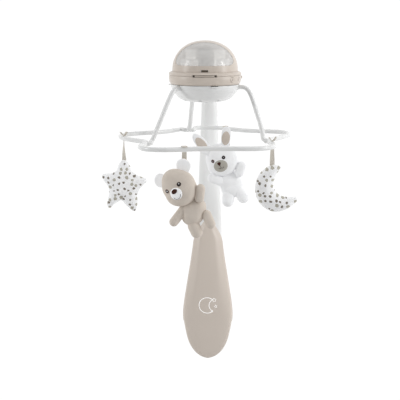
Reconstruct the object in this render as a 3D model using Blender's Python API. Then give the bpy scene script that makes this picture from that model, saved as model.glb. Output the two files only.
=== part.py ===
"""Crib mobile with a light projector: clamp, mast and arm, projector head, turning
carousel with a three-lobed toy ring, and four plush toys on ribbons.

Working frame of the numbers below: millimetres, Z = 0 on the seam between the beige
head and the white bowl, X = Y = 0 on the carousel's axis, -Y towards the inside of the
crib.  World frame: metres, origin in the middle of the face that rests on top of the
crib rail, +Z up.
"""

import bpy
import bmesh
from math import cos, sin, pi, radians, atan2, hypot, sqrt
from mathutils import Vector, Matrix

# ------------------------------------------------------------------ driving dimensions
RAIL_Y = 184.0            # carousel axis to the middle of the clamp gap
RAIL_DROP = 336.0         # seam to the top of the crib rail
REST_TURN = 2.6           # degrees the carousel stands turned at rest
GAP = 0.3                 # clearance between neighbouring pieces

HOUSING_R = 65.4          # widest radius of the beige head
SHELL_SPLIT = 16.2        # height of the joint between the two beige shells
SHOULDER_Z = 22.6         # top of the beige ring
DOME_R = 58.5
DOME_TOP = 75.0
WINDOW_Y = -18.5          # rear edge of the translucent window
WINDOW_Z = 34.3           # lower edge of the window
BOWL_DEPTH = 31.2
WALL = 2.4

RING_Z = -97.8            # centre height of the toy ring
RING_R = 4.1              # ring tube radius
LEG_R = 4.2

MAST_Y = 225.0
MAST_DEPTH = 16.0         # half depth
MAST_TOP_Z = -48.0
MAST_FOOT_Z = -462.0
ARM_Z = 12.6              # height of the arm where it enters the head

PADDLE_SPLIT_Y = 152.0    # joint plane of the two paddle shells
PADDLE_DEPTH = 17.0       # how far the front shell bulges
PAD_FACE_Y = 165.8        # grip face of the paddle pad
JAW_FACE_Y = 202.2        # grip face of the jaw pad, clamp open
JAW_Z = -395.0

RIBBON_W = 9.0
RIBBON_T = 1.2

MODULE = 1.25
HUB_TEETH = 30
PINION_TEETH = 10
GEAR_SPACING = MODULE * (HUB_TEETH + PINION_TEETH) / 2 + 0.1
MOTOR_ANGLE = -40.0

# ------------------------------------------------------------------ clean start
for _o in list(bpy.data.objects):
    bpy.data.objects.remove(_o, do_unlink=True)

COL = bpy.context.scene.collection


def world(p):
    return Vector((p[0], p[1] - RAIL_Y, p[2] + RAIL_DROP)) * 0.001


# ------------------------------------------------------------------ materials
_MATS = {}


def material(name, color, rough=0.45, metal=0.0, alpha=1.0):
    if name in _MATS:
        return _MATS[name]
    m = bpy.data.materials.new(name)
    m.use_nodes = True
    b = m.node_tree.nodes["Principled BSDF"]
    b.inputs["Base Color"].default_value = (*color, 1)
    b.inputs["Roughness"].default_value = rough
    b.inputs["Metallic"].default_value = metal
    b.inputs["Alpha"].default_value = alpha
    _MATS[name] = m
    return m


BEIGE = (0.50, 0.43, 0.37)
WHITE = (0.86, 0.86, 0.85)


def mat_of(node, kind):
    table = {
        "beige": (BEIGE, 0.38, 0.0),
        "white": (WHITE, 0.32, 0.0),
        "window": ((0.45, 0.43, 0.41), 0.2, 0.0),
        "dark": ((0.06, 0.055, 0.05), 0.45, 0.0),
        "grey": ((0.30, 0.29, 0.28), 0.5, 0.0),
        "rubber": ((0.32, 0.30, 0.28), 0.8, 0.0),
        "steel": ((0.60, 0.60, 0.60), 0.3, 1.0),
        "board": ((0.05, 0.22, 0.10), 0.5, 0.0),
        "cell": ((0.12, 0.12, 0.13), 0.35, 0.3),
        "ribbon": ((0.52, 0.44, 0.36), 0.85, 0.0),
        "spotted": ((0.85, 0.84, 0.82), 0.95, 0.0),
        "velour": ((0.52, 0.44, 0.37), 0.95, 0.0),
        "plush": ((0.86, 0.86, 0.86), 0.95, 0.0),
    }
    c, r, m = table[kind]
    return material(node + "_" + kind, c, r, m)


# ------------------------------------------------------------------ joint frames
FRAMES = {}


def frame(name, at, parent=None, turn=0.0):
    """An empty on a joint's axis; pieces that move about it are parented to it."""
    e = bpy.data.objects.new(name, None)
    COL.objects.link(e)
    if parent is None:
        e.location = world(at)
    else:
        e.parent = FRAMES[parent][0]
        e.location = (Vector(at) - Vector(FRAMES[parent][1])) * 0.001
    e.rotation_euler = (0, 0, radians(turn))
    FRAMES[name] = (e, at)
    return e


def add(name, bm, kind, parent=None, at=(0, 0, 0), smooth=True, angle=35):
    """Turns a bmesh in working millimetres into a named object in metres."""
    bmesh.ops.remove_doubles(bm, verts=bm.verts, dist=1e-4)
    bmesh.ops.recalc_face_normals(bm, faces=bm.faces)
    o = Vector(at)
    for v in bm.verts:
        v.co = (v.co - o) * 0.001
    me = bpy.data.meshes.new(name)
    bm.to_mesh(me)
    bm.free()
    ob = bpy.data.objects.new(name, me)
    COL.objects.link(ob)
    if parent is None:
        ob.location = world(at)
    else:
        e, origin = FRAMES[parent]
        ob.parent = e
        ob.location = (o - Vector(origin)) * 0.001
    me.materials.append(mat_of(name, kind))
    if smooth:
        me.shade_smooth()
        me.set_sharp_from_angle(angle=radians(angle))
    return ob


# ------------------------------------------------------------------ shape helpers
def loft(rings, bm=None):
    """Closed body through rings of points; the first and last ring are capped."""
    bm = bm or bmesh.new()
    rows = [[bm.verts.new(p) for p in r] for r in rings]
    n = len(rows[0])
    for a, b in zip(rows, rows[1:]):
        for i in range(n):
            j = (i + 1) % n
            bm.faces.new((a[i], a[j], b[j], b[i]))
    bm.faces.new(rows[0][::-1])
    bm.faces.new(rows[-1])
    return bm


def tunnel(rings, bm=None):
    """A body through rings that closes on itself: the last ring meets the first."""
    bm = bm or bmesh.new()
    rows = [[bm.verts.new(p) for p in r] for r in rings]
    n = len(rows[0])
    for k in range(len(rows)):
        a, b = rows[k], rows[(k + 1) % len(rows)]
        for i in range(n):
            j = (i + 1) % n
            bm.faces.new((a[i], a[j], b[j], b[i]))
    return bm


def lathe(profile, n=40, bm=None, centre=(0, 0), closed=True):
    """Turned body: profile points (r, z); r = 0 points close on the axis."""
    bm = bm or bmesh.new()
    rows = []
    for r, z in profile:
        if r < 1e-6:
            rows.append([bm.verts.new((centre[0], centre[1], z))])
        else:
            rows.append([bm.verts.new((centre[0] + r * cos(2 * pi * i / n), centre[1] + r * sin(2 * pi * i / n), z)) for i in range(n)])
    pairs = list(zip(rows, rows[1:]))
    if closed:
        pairs.append((rows[-1], rows[0]))
    for a, b in pairs:
        for i in range(n):
            j = (i + 1) % n
            if len(a) == 1 and len(b) == 1:
                break
            if len(a) == 1:
                bm.faces.new((a[0], b[j], b[i]))
            elif len(b) == 1:
                bm.faces.new((a[i], a[j], b[0]))
            else:
                bm.faces.new((a[i], a[j], b[j], b[i]))
    return bm


def block(x0, x1, y0, y1, z0, z1, bevel=0.0, bm=None, segs=2):
    bm = bm or bmesh.new()
    vs = [bm.verts.new((x, y, z)) for x in (x0, x1) for y in (y0, y1) for z in (z0, z1)]
    quads = ((0, 1, 3, 2), (4, 6, 7, 5), (0, 4, 5, 1), (2, 3, 7, 6), (0, 2, 6, 4), (1, 5, 7, 3))
    new = [bm.faces.new([vs[i] for i in q]) for q in quads]
    if bevel > 0:
        edges = list({e for f in new for e in f.edges})
        bmesh.ops.bevel(bm, geom=edges, offset=bevel, segments=segs, profile=0.5, affect="EDGES")
    return bm


def rod(p0, p1, r, n=16, r1=None, bm=None):
    bm = bm or bmesh.new()
    p0, p1 = Vector(p0), Vector(p1)
    d = (p1 - p0).normalized()
    u = d.orthogonal().normalized()
    w = d.cross(u)
    r1 = r if r1 is None else r1
    return loft([[p0 + (u * cos(2 * pi * i / n) + w * sin(2 * pi * i / n)) * r for i in range(n)],
                 [p1 + (u * cos(2 * pi * i / n) + w * sin(2 * pi * i / n)) * r1 for i in range(n)]], bm)


def smooth_path(pts, step=4):
    """Catmull-Rom points through a route."""
    pts = [Vector(p) for p in pts]
    full = [pts[0] * 2 - pts[1]] + pts + [pts[-1] * 2 - pts[-2]]
    out = []
    for i in range(1, len(full) - 2):
        a, b, c, d = full[i - 1:i + 3]
        for k in range(step):
            t = k / step
            out.append(0.5 * ((2 * b) + (c - a) * t + (2 * a - 5 * b + 4 * c - d) * t * t + (3 * b - a - 3 * c + d) * t ** 3))
    out.append(pts[-1])
    return out


def sweep(path, rx, rz, n=10, up=Vector((0, 0, 1)), bm=None):
    """Tube of elliptical section along a path; rx sideways, rz towards 'up'."""
    rings = []
    for i, p in enumerate(path):
        t = (path[min(i + 1, len(path) - 1)] - path[max(i - 1, 0)]).normalized()
        side = t.cross(up)
        side = side.normalized() if side.length > 1e-6 else Vector((1, 0, 0))
        top = side.cross(t).normalized()
        a = rx[i] if isinstance(rx, list) else rx
        b = rz[i] if isinstance(rz, list) else rz
        rings.append([p + side * (a * cos(2 * pi * k / n)) + top * (b * sin(2 * pi * k / n)) for k in range(n)])
    return loft(rings, bm)


def sector(a0, a1, levels, r_in, n=8, grow=0.0, bm=None):
    """Curved slab: levels are (z, outer radius); angles in degrees."""
    rings = []
    for k in range(n + 1):
        a = radians(a0 + (a1 - a0) * k / n)
        ring = [Vector((r_in * cos(a), r_in * sin(a), levels[0][0]))]
        ring += [Vector(((r + grow) * cos(a), (r + grow) * sin(a), z)) for z, r in levels]
        ring += [Vector((r_in * cos(a), r_in * sin(a), levels[-1][0]))]
        rings.append(ring)
    return loft(rings, bm)


def ball(c, radii, tilt=0.0, n=14, m=9, bm=None):
    """Ellipsoid, tilted in the XZ plane by 'tilt' degrees (positive turns its top to -X)."""
    bm = bm or bmesh.new()
    t = radians(tilt)
    c = Vector(c)

    def put(x, y, z):
        return c + Vector((x * cos(t) - z * sin(t), y, x * sin(t) + z * cos(t)))

    top = bm.verts.new(put(0, 0, radii[2]))
    rows = []
    for j in range(1, m):
        f = pi * j / m
        rows.append([bm.verts.new(put(radii[0] * sin(f) * cos(2 * pi * i / n), radii[1] * sin(f) * sin(2 * pi * i / n), radii[2] * cos(f))) for i in range(n)])
    low = bm.verts.new(put(0, 0, -radii[2]))
    for i in range(n):
        j = (i + 1) % n
        bm.faces.new((top, rows[0][i], rows[0][j]))
        bm.faces.new((low, rows[-1][j], rows[-1][i]))
        for a, b in zip(rows, rows[1:]):
            bm.faces.new((a[i], b[i], b[j], a[j]))
    bmesh.ops.recalc_face_normals(bm, faces=bm.faces)
    return bm


def temp(bm):
    """A working-millimetre helper object for a cut or a join."""
    bmesh.ops.remove_doubles(bm, verts=bm.verts, dist=1e-4)
    bmesh.ops.recalc_face_normals(bm, faces=bm.faces)
    me = bpy.data.meshes.new("helper")
    bm.to_mesh(me)
    bm.free()
    ob = bpy.data.objects.new("helper", me)
    COL.objects.link(ob)
    return ob


def combine(base, others, how):
    """EXACT Boolean of bmeshes in working millimetres; returns a bmesh."""
    ob = temp(base)
    for other in others:
        tool = temp(other)
        mod = ob.modifiers.new("cut", "BOOLEAN")
        mod.operation = how
        mod.solver = "EXACT"
        mod.object = tool
        bpy.context.view_layer.update()
        dg = bpy.context.evaluated_depsgraph_get()
        me = bpy.data.meshes.new_from_object(ob.evaluated_get(dg))
        ob.modifiers.clear()
        ob.data = me
        bpy.data.objects.remove(tool, do_unlink=True)
    bm = bmesh.new()
    bm.from_mesh(ob.data)
    bpy.data.objects.remove(ob, do_unlink=True)
    bmesh.ops.remove_doubles(bm, verts=bm.verts, dist=1e-3)
    bmesh.ops.dissolve_degenerate(bm, edges=bm.edges, dist=1e-3)
    return bm


def polar(r, deg, z=0.0):
    a = radians(deg)
    return Vector((r * cos(a), r * sin(a), z))


def superellipse(n, a, b, power=2.6):
    pts = []
    for i in range(n):
        t = 2 * pi * i / n
        c, s = cos(t), sin(t)
        pts.append((a * abs(c) ** (2 / power) * (1 if c >= 0 else -1), b * abs(s) ** (2 / power) * (1 if s >= 0 else -1)))
    return pts


# ------------------------------------------------------------------ joint frames
frame("carousel_axis", (0, 0, 0), turn=REST_TURN)
PINION_AT = polar(GEAR_SPACING, MOTOR_ANGLE)
frame("pinion_axis", PINION_AT)
frame("jaw_axis", (0, MAST_Y, JAW_Z))

# ================================================================== CLAMP: PADDLE
# height below the seam and half width of the paddle, top to bottom
PADDLE = [(-284.5, 3.0), (-288.5, 8.2), (-294.5, 12.6), (-302, 18.0), (-312, 23.6), (-322, 27.6), (-344, 30.8), (-366, 34.0),
          (-388, 37.4), (-410, 41.0), (-432, 44.6), (-452, 47.7), (-470, 49.6), (-484, 50.1), (-497, 48.6), (-514, 45.9),
          (-534, 41.0), (-550, 34.0), (-562, 25.5), (-570, 16.0), (-574, 6.0)]
STEP_Z = -497.0           # the rear shell is a little wider above this height


def paddle_depth(z):
    """Bulge of the front shell: fullest in the lower middle, thin at both ends."""
    t = (-284.5 - z) / 289.5
    return 3.0 + PADDLE_DEPTH * max(0.0, sin(pi * min(1.0, max(0.0, t)) ** 0.85)) ** 0.55


def shoulder(u, f, z):
    """Soft crease beside the flat middle of the paddle, fading out towards the round end."""
    line = 1.0 - 1.6 * (u - 0.50)
    h = min(1.0, max(0.0, 0.5 + 0.5 * (line - f) / 0.06))
    low = line + (f - line) * h - 0.06 * h * (1 - h)
    s = min(1.0, max(0.0, (z + 505.0) / 100.0))
    return f + (max(0.0, min(f, low)) - f) * s * s * (3 - 2 * s)


def paddle_half(z, w, y0, depth, n=16, power=2.3):
    """Half section: flat back on y0, domed towards -Y."""
    pts = []
    for i in range(n + 1):
        t = pi * i / n
        c, s = cos(t), sin(t)
        u = abs(c) ** (2 / power)
        pts.append(Vector((w * u * (1 if c >= 0 else -1), y0 - depth * shoulder(u, abs(s) ** (2 / power), z), z)))
    return pts


# front shell: domed, open at the back, wall WALL thick
outer = [paddle_half(z, w, PADDLE_SPLIT_Y, paddle_depth(z)) for z, w in PADDLE]
inner = []
for z, w in PADDLE[2:-2]:
    inner.append(paddle_half(z, max(w - WALL - 1.2, 1.5), PADDLE_SPLIT_Y + 1.0, max(paddle_depth(z) - WALL + 0.6, 1.5)))
shell = loft(outer)
hollow = loft(inner)
bm = combine(shell, [hollow], "DIFFERENCE")
add("paddle_front_shell", bm, "beige")

# rear shell: a shallow tray that closes the front shell from behind
rear = []
for z, w in PADDLE[1:-1]:
    wide = w + 0.9 if z > STEP_Z + 1 else w - 1.4
    rear.append([Vector((wide * cos(t), PADDLE_SPLIT_Y + GAP + (10.2 - 3.0 * abs(cos(t)) ** 3) * (1 if k else 0), z))
                 for k, t in [(0, 0.0)] + [(1, pi * i / 10) for i in range(11)] + [(0, pi)]])
bm = loft(rear)
add("paddle_rear_shell", bm, "beige")
REAR_BACK = PADDLE_SPLIT_Y + GAP + 10.2

# rubber pad with a flat gripping face
pad = []
for y, inset in ((REAR_BACK + GAP, 1.0), (PAD_FACE_Y - 0.8, 0.0), (PAD_FACE_Y, 1.0)):
    ring = []
    for px, pz in superellipse(24, 24.0 - inset, 54.0 - inset, 5.0):
        ring.append(Vector((px, y, -400 + pz)))
    pad.append(ring)
add("paddle_grip_pad", loft(pad), "rubber", angle=30)

# ================================================================== CLAMP: MAST
def mast_half(z):
    return 16.0 + 0.038 * max(0.0, -55.0 - z)


def mast_ring(z, grow=0.0, n=24):
    return [Vector((x, MAST_Y + y, z)) for x, y in superellipse(n, mast_half(z) + grow, MAST_DEPTH + grow, 2.5)]


MAST_LEVELS = [MAST_TOP_Z, -150.0, -250.0, -345.0, -430.0, MAST_FOOT_Z + 8.0, MAST_FOOT_Z]
outside = [mast_ring(z, -2.5 if z == MAST_FOOT_Z else 0.0) for z in MAST_LEVELS]
bm = loft(outside)
inside = [mast_ring(z, -WALL) for z in (MAST_TOP_Z + 5, -250.0, MAST_FOOT_Z + WALL)]
bm = combine(bm, [loft(inside), rod((0, MAST_Y - 30, JAW_Z), (0, MAST_Y, JAW_Z), 5.0), rod((0, MAST_Y, JAW_Z), (0, MAST_Y + 30, JAW_Z), 8.4)], "DIFFERENCE")
add("mast_tube", bm, "white")

# threaded bush in the mast's rear wall
bm = tunnel([[Vector((r * cos(2 * pi * i / 24), y, JAW_Z + r * sin(2 * pi * i / 24))) for i in range(24)]
             for r, y in ((8.0, MAST_Y + 8.0), (8.0, MAST_Y + MAST_DEPTH + 0.4), (10.5, MAST_Y + MAST_DEPTH + 0.4), (10.5, MAST_Y + MAST_DEPTH + 2.4), (4.08, MAST_Y + MAST_DEPTH + 2.4), (4.08, MAST_Y + 8.0))])
add("clamp_bush", bm, "steel")

# bridge that joins the paddle to the mast and rests on the rail
bm = block(-18.5, 18.5, REAR_BACK + GAP, MAST_Y - 4.0, -RAIL_DROP, -RAIL_DROP + 22.0, 2.0)
bm = combine(bm, [loft([mast_ring(z, GAP) for z in (-300.0, -350.0)])], "DIFFERENCE")
add("rail_bridge", bm, "white")

# bridge screws through the paddle's back
for name, sx in (("bridge_screw_left", -10.0), ("bridge_screw_right", 10.0)):
    bm = rod((sx, REAR_BACK - 0.3 + GAP * 2, -RAIL_DROP - 6.0), (sx, REAR_BACK + 2.0 + GAP, -RAIL_DROP - 6.0), 3.0, n=12)
    add(name, bm, "steel")

# moving jaw, pad, screw and knob
jy = JAW_FACE_Y
bm = block(-25.0, 25.0, jy + 2.8 + GAP, jy + 6.2, JAW_Z - 28.0, JAW_Z + 28.0, 1.2)
add("jaw_plate", bm, "white", parent="jaw_axis", at=(0, MAST_Y, JAW_Z))
pad = []
for y, inset in ((jy, 0.8), (jy + 0.6, 0.0), (jy + 2.8, 0.0)):
    pad.append([Vector((px, y, JAW_Z + pz)) for px, pz in superellipse(20, 22.5 - inset, 25.5 - inset, 5.0)])
add("jaw_pad", loft(pad), "rubber", parent="jaw_axis", at=(0, MAST_Y, JAW_Z), angle=30)
SCREW_END = MAST_Y + MAST_DEPTH + 2.4 + 26.0
bm = rod((0, jy + 6.2 + GAP, JAW_Z), (0, SCREW_END, JAW_Z), 4.0, n=24)
add("clamp_screw", bm, "steel", parent="jaw_axis", at=(0, MAST_Y, JAW_Z))
knob = []
for y, r, wave in ((SCREW_END + GAP, 15.0, 0.0), (SCREW_END + 3.0, 19.5, 1.6), (SCREW_END + 13.0, 20.5, 1.8), (SCREW_END + 17.0, 17.0, 1.0)):
    knob.append([Vector(((r + wave * cos(8 * 2 * pi * i / 48)) * cos(2 * pi * i / 48), y, JAW_Z + (r + wave * cos(8 * 2 * pi * i / 48)) * sin(2 * pi * i / 48))) for i in range(48)])
add("clamp_knob", loft(knob), "white", parent="jaw_axis", at=(0, MAST_Y, JAW_Z))

# ================================================================== ARM
HOUSING = [(0.3, 61.6), (3.5, 62.6), (9.0, 64.5), (14.0, 65.4), (SHELL_SPLIT - 0.15, 65.4), (SHELL_SPLIT + 0.15, 65.4), (19.0, 64.6), (21.4, 62.6), (SHOULDER_Z, 60.4)]


def housing_r(z):
    for (z0, r0), (z1, r1) in zip(HOUSING, HOUSING[1:]):
        if z <= z1:
            return r0 + (r1 - r0) * (z - z0) / (z1 - z0)
    return HOUSING[-1][1]


arm_path, arm_x, arm_d = [], [], []
for z in (MAST_TOP_Z - 28.0, MAST_TOP_Z + GAP):      # spigot inside the mast
    arm_path.append(Vector((0, MAST_Y, z)))
    arm_x.append(mast_half(z) - WALL - 0.6)
    arm_d.append(MAST_DEPTH - WALL - 0.6)
arm_path.append(Vector((0, MAST_Y, MAST_TOP_Z + GAP)))
arm_x.append(mast_half(MAST_TOP_Z))
arm_d.append(MAST_DEPTH)
BEND_Z, BEND_Y = -28.0, 158.0
for k in range(0, 9):
    t = (pi / 2) * k / 8
    arm_path.append(Vector((0, BEND_Y + (MAST_Y - BEND_Y) * cos(t), BEND_Z + (ARM_Z - BEND_Z) * sin(t))))
    arm_x.append(16.0 - 1.2 * k / 8)
    arm_d.append(MAST_DEPTH + (9.4 - MAST_DEPTH) * (k / 8) ** 0.8)
for y in (110.0, 55.0):
    arm_path.append(Vector((0, y, ARM_Z)))
    arm_x.append(14.8)
    arm_d.append(9.4)
rings = []
for i, p in enumerate(arm_path):
    if i < 3:
        t = Vector((0, 0, 1))
    else:
        t = (arm_path[min(i + 1, len(arm_path) - 1)] - arm_path[i - 1]).normalized()
    across = Vector((0, -t.z, t.y))   # in the YZ plane, square to the path
    rings.append([p + Vector((1, 0, 0)) * x + across * (-y) for x, y in superellipse(20, arm_x[i], arm_d[i], 2.5)])
bm = loft(rings)
bm = combine(bm, [lathe([(0, -20), (66.2, -20), (66.2, 60), (0, 60)], 64, closed=False)], "DIFFERENCE")
add("arm", bm, "white")

# ================================================================== PROJECTOR HEAD
BATTERY_ANGLE = 155.0
TRACK_ANGLE = -88.5
BUTTONS = [("music_button", -40.4, 10.0, 4.4), ("volume_button", -21.4, 10.2, 3.4), ("light_button", 1.6, 12.2, 2.6)]
TRACK = (14.9, 18.9, 19.2)          # z low, z high, half angle in degrees


def cut_sector(a, half, z0, z1):
    return sector(a - half, a + half, [(z0, 70.0), (z1, 70.0)], 57.0, n=6)


track_cut = lambda: cut_sector(TRACK_ANGLE, TRACK[2], TRACK[0], TRACK[1])

# lower shell: wall and floor in one
lower = [(0, 0.3)] + [(r, z) for z, r in HOUSING[:5]] + [(62.6, SHELL_SPLIT - 0.15), (62.6, 13.5), (61.4, 8.0), (59.6, 3.0), (59.0, 2.6), (0, 2.6)]
bm = lathe(lower, 48, closed=False)
cuts = [track_cut(), cut_sector(BATTERY_ANGLE, 21.5, 3.4, 15.2), rod((0, 0, -2), (0, 0, 5), 3.4, n=16),
        rod(PINION_AT + Vector((0, 0, -2)), PINION_AT + Vector((0, 0, 5)), 2.2, n=12)]
for _, a, z, r in BUTTONS:
    cuts.append(rod(polar(56, a, z), polar(70, a, z), r + 0.35, n=16))
bm = combine(bm, cuts, "DIFFERENCE")
add("lower_housing", bm, "beige")

# upper shell: ring with the groove that takes the dome
upper = [(r, z) for z, r in HOUSING[5:]] + [(59.2, SHOULDER_Z - 0.1), (59.0, SHOULDER_Z - 2.4), (61.6, SHOULDER_Z - 3.6), (62.6, SHELL_SPLIT + 0.15)]
bm = combine(lathe(upper, 48), [track_cut()], "DIFFERENCE")
add("upper_housing", bm, "beige")


def dome_profile(grow=0.0, z0=SHOULDER_Z - 2.0, m=9):
    pts = []
    for k in range(m + 1):
        t = (pi / 2) * k / m
        c, s = cos(t) ** (2 / 2.15), sin(t) ** (2 / 2.15)
        pts.append(((DOME_R + grow) * (c if k < m else 0.0), 24.0 + (DOME_TOP - 24.0 + grow) * s))
    return [(DOME_R + grow, z0)] + pts


def dome_shell(out, thick, z0, n=48):
    a = dome_profile(out, z0)
    b = dome_profile(out - thick, z0)
    return lathe(a + b[::-1], n, closed=True)


def window_prism(grow=0.0):
    """Everything in front of and above the window's edge, with a rounded corner."""
    r = 9.0
    y1, z0 = WINDOW_Y + grow, WINDOW_Z - grow
    prof = [(-90.0, z0)]
    for k in range(6):
        t = (pi / 2) * k / 5
        prof.append((y1 - r + r * sin(t), z0 + r - r * cos(t)))
    prof += [(y1, 95.0), (-90.0, 95.0)]
    return loft([[Vector((x, y, z)) for y, z in prof] for x in (-80.0, 80.0)])


# beige hood, with the opening for the window and the sensor slot
bm = combine(dome_shell(0.0, 2.2, SHOULDER_Z - 2.0), [window_prism(), sector(TRACK_ANGLE - 6.2, TRACK_ANGLE + 6.2, [(23.1, 66.0), (25.9, 66.0)], 52.0, n=3)], "DIFFERENCE")
add("dome_cover", bm, "beige")
bm = combine(dome_shell(-0.1, 1.9, WINDOW_Z - 10, 40), [window_prism(-GAP)], "INTERSECT")
add("dome_window", bm, "window")
bm = sector(TRACK_ANGLE - 5.8, TRACK_ANGLE + 5.8, [(23.4, 57.6), (25.6, 57.6)], 55.0, n=3)
add("sensor_window", bm, "dark")

# lamp tower under the window, with the film and the lens on top
add("lamp_housing", lathe([(0, 21.2), (21.0, 21.2), (21.0, 27.0), (17.0, 29.0), (17.0, 57.0), (15.0, 60.0), (0, 60.0)], 20, closed=False), "grey")
add("star_film", lathe([(0, 60.4), (13.0, 60.4), (13.0, 61.2), (0, 61.2)], 20, closed=False), "dark")
add("projection_lens", lathe([(0, 61.6), (11.0, 61.6), (11.0, 63.2), (8.0, 66.0), (4.0, 67.4), (0, 67.8)], 18, closed=False), "window")
add("main_board", block(-34, 34, -30, 22, 18.9, 20.5), "board", smooth=False)
add("speaker", lathe([(0, 3.2), (15.0, 3.2), (15.0, 5.2), (10.0, 8.0), (8.0, 11.0), (0, 11.0)], 18, closed=False, centre=(-10.0, -36.0)), "dark")
mx, my = PINION_AT.x, PINION_AT.y
add("drive_motor", lathe([(0, 3.0), (9.5, 3.0), (9.5, 16.5), (0, 16.5)], 16, closed=False, centre=(mx, my)), "steel")
for k, name in enumerate(("battery_cell_left", "battery_cell_middle", "battery_cell_right")):
    side = polar((k - 1) * 11.2, BATTERY_ANGLE + 90.0, 9.3)
    add(name, rod(polar(8.5, BATTERY_ANGLE) + side, polar(53.0, BATTERY_ANGLE) + side, 5.25, n=12), "cell")
frame("battery_door_axis", polar(60.0, BATTERY_ANGLE, 9.3))
door = [(z, housing_r(z) - 0.0) for z in (3.8, 6.0, 9.0, 12.0, 14.8)]
add("battery_door", sector(BATTERY_ANGLE - 21.1, BATTERY_ANGLE + 21.1, door, 60.2, n=8), "beige", parent="battery_door_axis", at=polar(60.0, BATTERY_ANGLE, 9.3))

# controls
frame("slider_axis", (0, 0, 16.9))
lv = [(TRACK[0] + 0.4, 66.2), (TRACK[1] - 0.4, 65.8)]
add("focus_slider", sector(TRACK_ANGLE - 15.6, TRACK_ANGLE + 15.6, lv, 60.5, n=10), "beige", parent="slider_axis", at=(0, 0, 16.9))
for name, a, z, r in BUTTONS:
    at = polar(60, a, z)
    frame(name + "_axis", at)
    tip = housing_r(z) + (1.9 if name == "light_button" else 0.8)
    bm = loft([[polar(d, a, z) + (Vector((-sin(radians(a)), cos(radians(a)), 0)) * cos(2 * pi * i / 16) + Vector((0, 0, 1)) * sin(2 * pi * i / 16)) * rr for i in range(16)]
               for d, rr in ((57.5, r), (tip - 0.7, r), (tip, r - 0.7))])
    add(name, bm, "beige", parent=name + "_axis", at=at)

# ================================================================== SPINDLE AND DRIVE
spindle = [(0, -27.0), (3.0, -27.0), (3.0, 2.9), (6.0, 2.9), (6.0, 4.9), (0, 4.9)]
add("spindle", lathe(spindle, 24, closed=False), "steel")
add("spindle_clip", lathe([(3.3, -26.0), (7.0, -26.0), (7.0, -24.6), (3.3, -24.6)], 16), "steel")


def gear(teeth, z0, z1, bore, centre, phase):
    """Spur gear with straight-flanked teeth and generous backlash."""
    rp = MODULE * teeth / 2
    ro, rr = rp + 0.88 * MODULE, rp - 1.15 * MODULE
    p = 360.0 / teeth
    pts = []
    for k in range(teeth):
        a = phase + k * p
        for da, r in ((-0.25, rr), (-0.10, ro), (0.10, ro), (0.25, rr)):
            pts.append(polar(r, a + da * p))
    c = Vector((centre[0], centre[1], 0))
    if bore == 0:
        return loft([[c + q + Vector((0, 0, z)) for q in pts] for z in (z0, z1)])
    hole = [polar(bore, phase + 360.0 * i / len(pts)) for i in range(len(pts))]
    rings = [[c + q + Vector((0, 0, z)) for q in ring] for ring, z in ((hole, z0), (pts, z0), (pts, z1), (hole, z1))]
    return tunnel(rings)


bm = gear(HUB_TEETH, -12.5, -7.5, 3.08, (0, 0), MOTOR_ANGLE - REST_TURN)
boss = lathe([(3.08, -24.0), (9.4, -24.0), (9.4, -12.0), (3.08, -12.0)], 120)
gear_part = combine(bm, [boss], "UNION")
add("hub_gear", gear_part, "white", parent="carousel_axis")
bm = gear(PINION_TEETH, -12.3, -7.7, 0, PINION_AT, MOTOR_ANGLE + 180.0 + 180.0 / PINION_TEETH)
bm = combine(bm, [rod(PINION_AT + Vector((0, 0, -8.5)), PINION_AT + Vector((0, 0, 2.4)), 1.6, n=12)], "UNION")
add("motor_pinion", bm, "white", parent="pinion_axis", at=PINION_AT)

# ================================================================== BOWL
BOWL_OUT = [(61.2, -0.3), (60.9, -4.0), (59.9, -8.0), (58.2, -10.6), (55.4, -14.8), (51.8, -20.0), (46.0, -25.2), (36.0, -29.4), (22.0, -31.0), (0, -BOWL_DEPTH)]
BOWL_IN = [(0, -28.8), (9.7, -28.8), (9.7, -16.0), (12.2, -16.0), (12.2, -28.6), (22.0, -28.4), (35.0, -26.8), (44.2, -23.2), (49.6, -18.6), (53.0, -13.6), (55.8, -9.6), (58.0, -5.0), (58.6, -0.3)]
LEG_ROOTS = (221.5, 347.0, 105.5)
TABS = [("release_tab_front", 285.5), ("release_tab_left", 165.0), ("release_tab_right", 45.0)]
bm = lathe(BOWL_OUT + BOWL_IN, 48)
cuts = []
for a in LEG_ROOTS:
    m = Matrix.Rotation(radians(a), 3, "Z")
    b = block(50, 70, -4.9, 4.9, -9.3, 4.0)
    bmesh.ops.rotate(b, verts=b.verts, cent=(0, 0, 0), matrix=m)
    cuts.append(b)
for _, a in TABS:
    b = block(50, 70, -6.4, 6.4, -3.0, 4.0)
    bmesh.ops.rotate(b, verts=b.verts, cent=(0, 0, 0), matrix=Matrix.Rotation(radians(a), 3, "Z"))
    cuts.append(b)
bm = combine(bm, cuts, "DIFFERENCE")
for k in range(8):
    b = block(38.5, 43.5, -2.8, 2.8, -40.0, -20.0)
    bmesh.ops.rotate(b, verts=b.verts, cent=(0, 0, 0), matrix=Matrix.Rotation(radians(22.5 + 45 * k + 10), 3, "Z"))
    bm = combine(bm, [b], "DIFFERENCE")
add("bowl_shell", bm, "white", parent="carousel_axis")

for name, a in TABS:
    at = polar(58, a, -1.8)
    frame(name + "_axis", at, parent="carousel_axis")
    b = block(49.0, 66.0, -6.0, 6.0, -2.7, -1.1, 0.5, segs=1)
    bmesh.ops.rotate(b, verts=b.verts, cent=(0, 0, 0), matrix=Matrix.Rotation(radians(a), 3, "Z"))
    add(name, b, "white", parent=name + "_axis", at=at)

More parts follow.
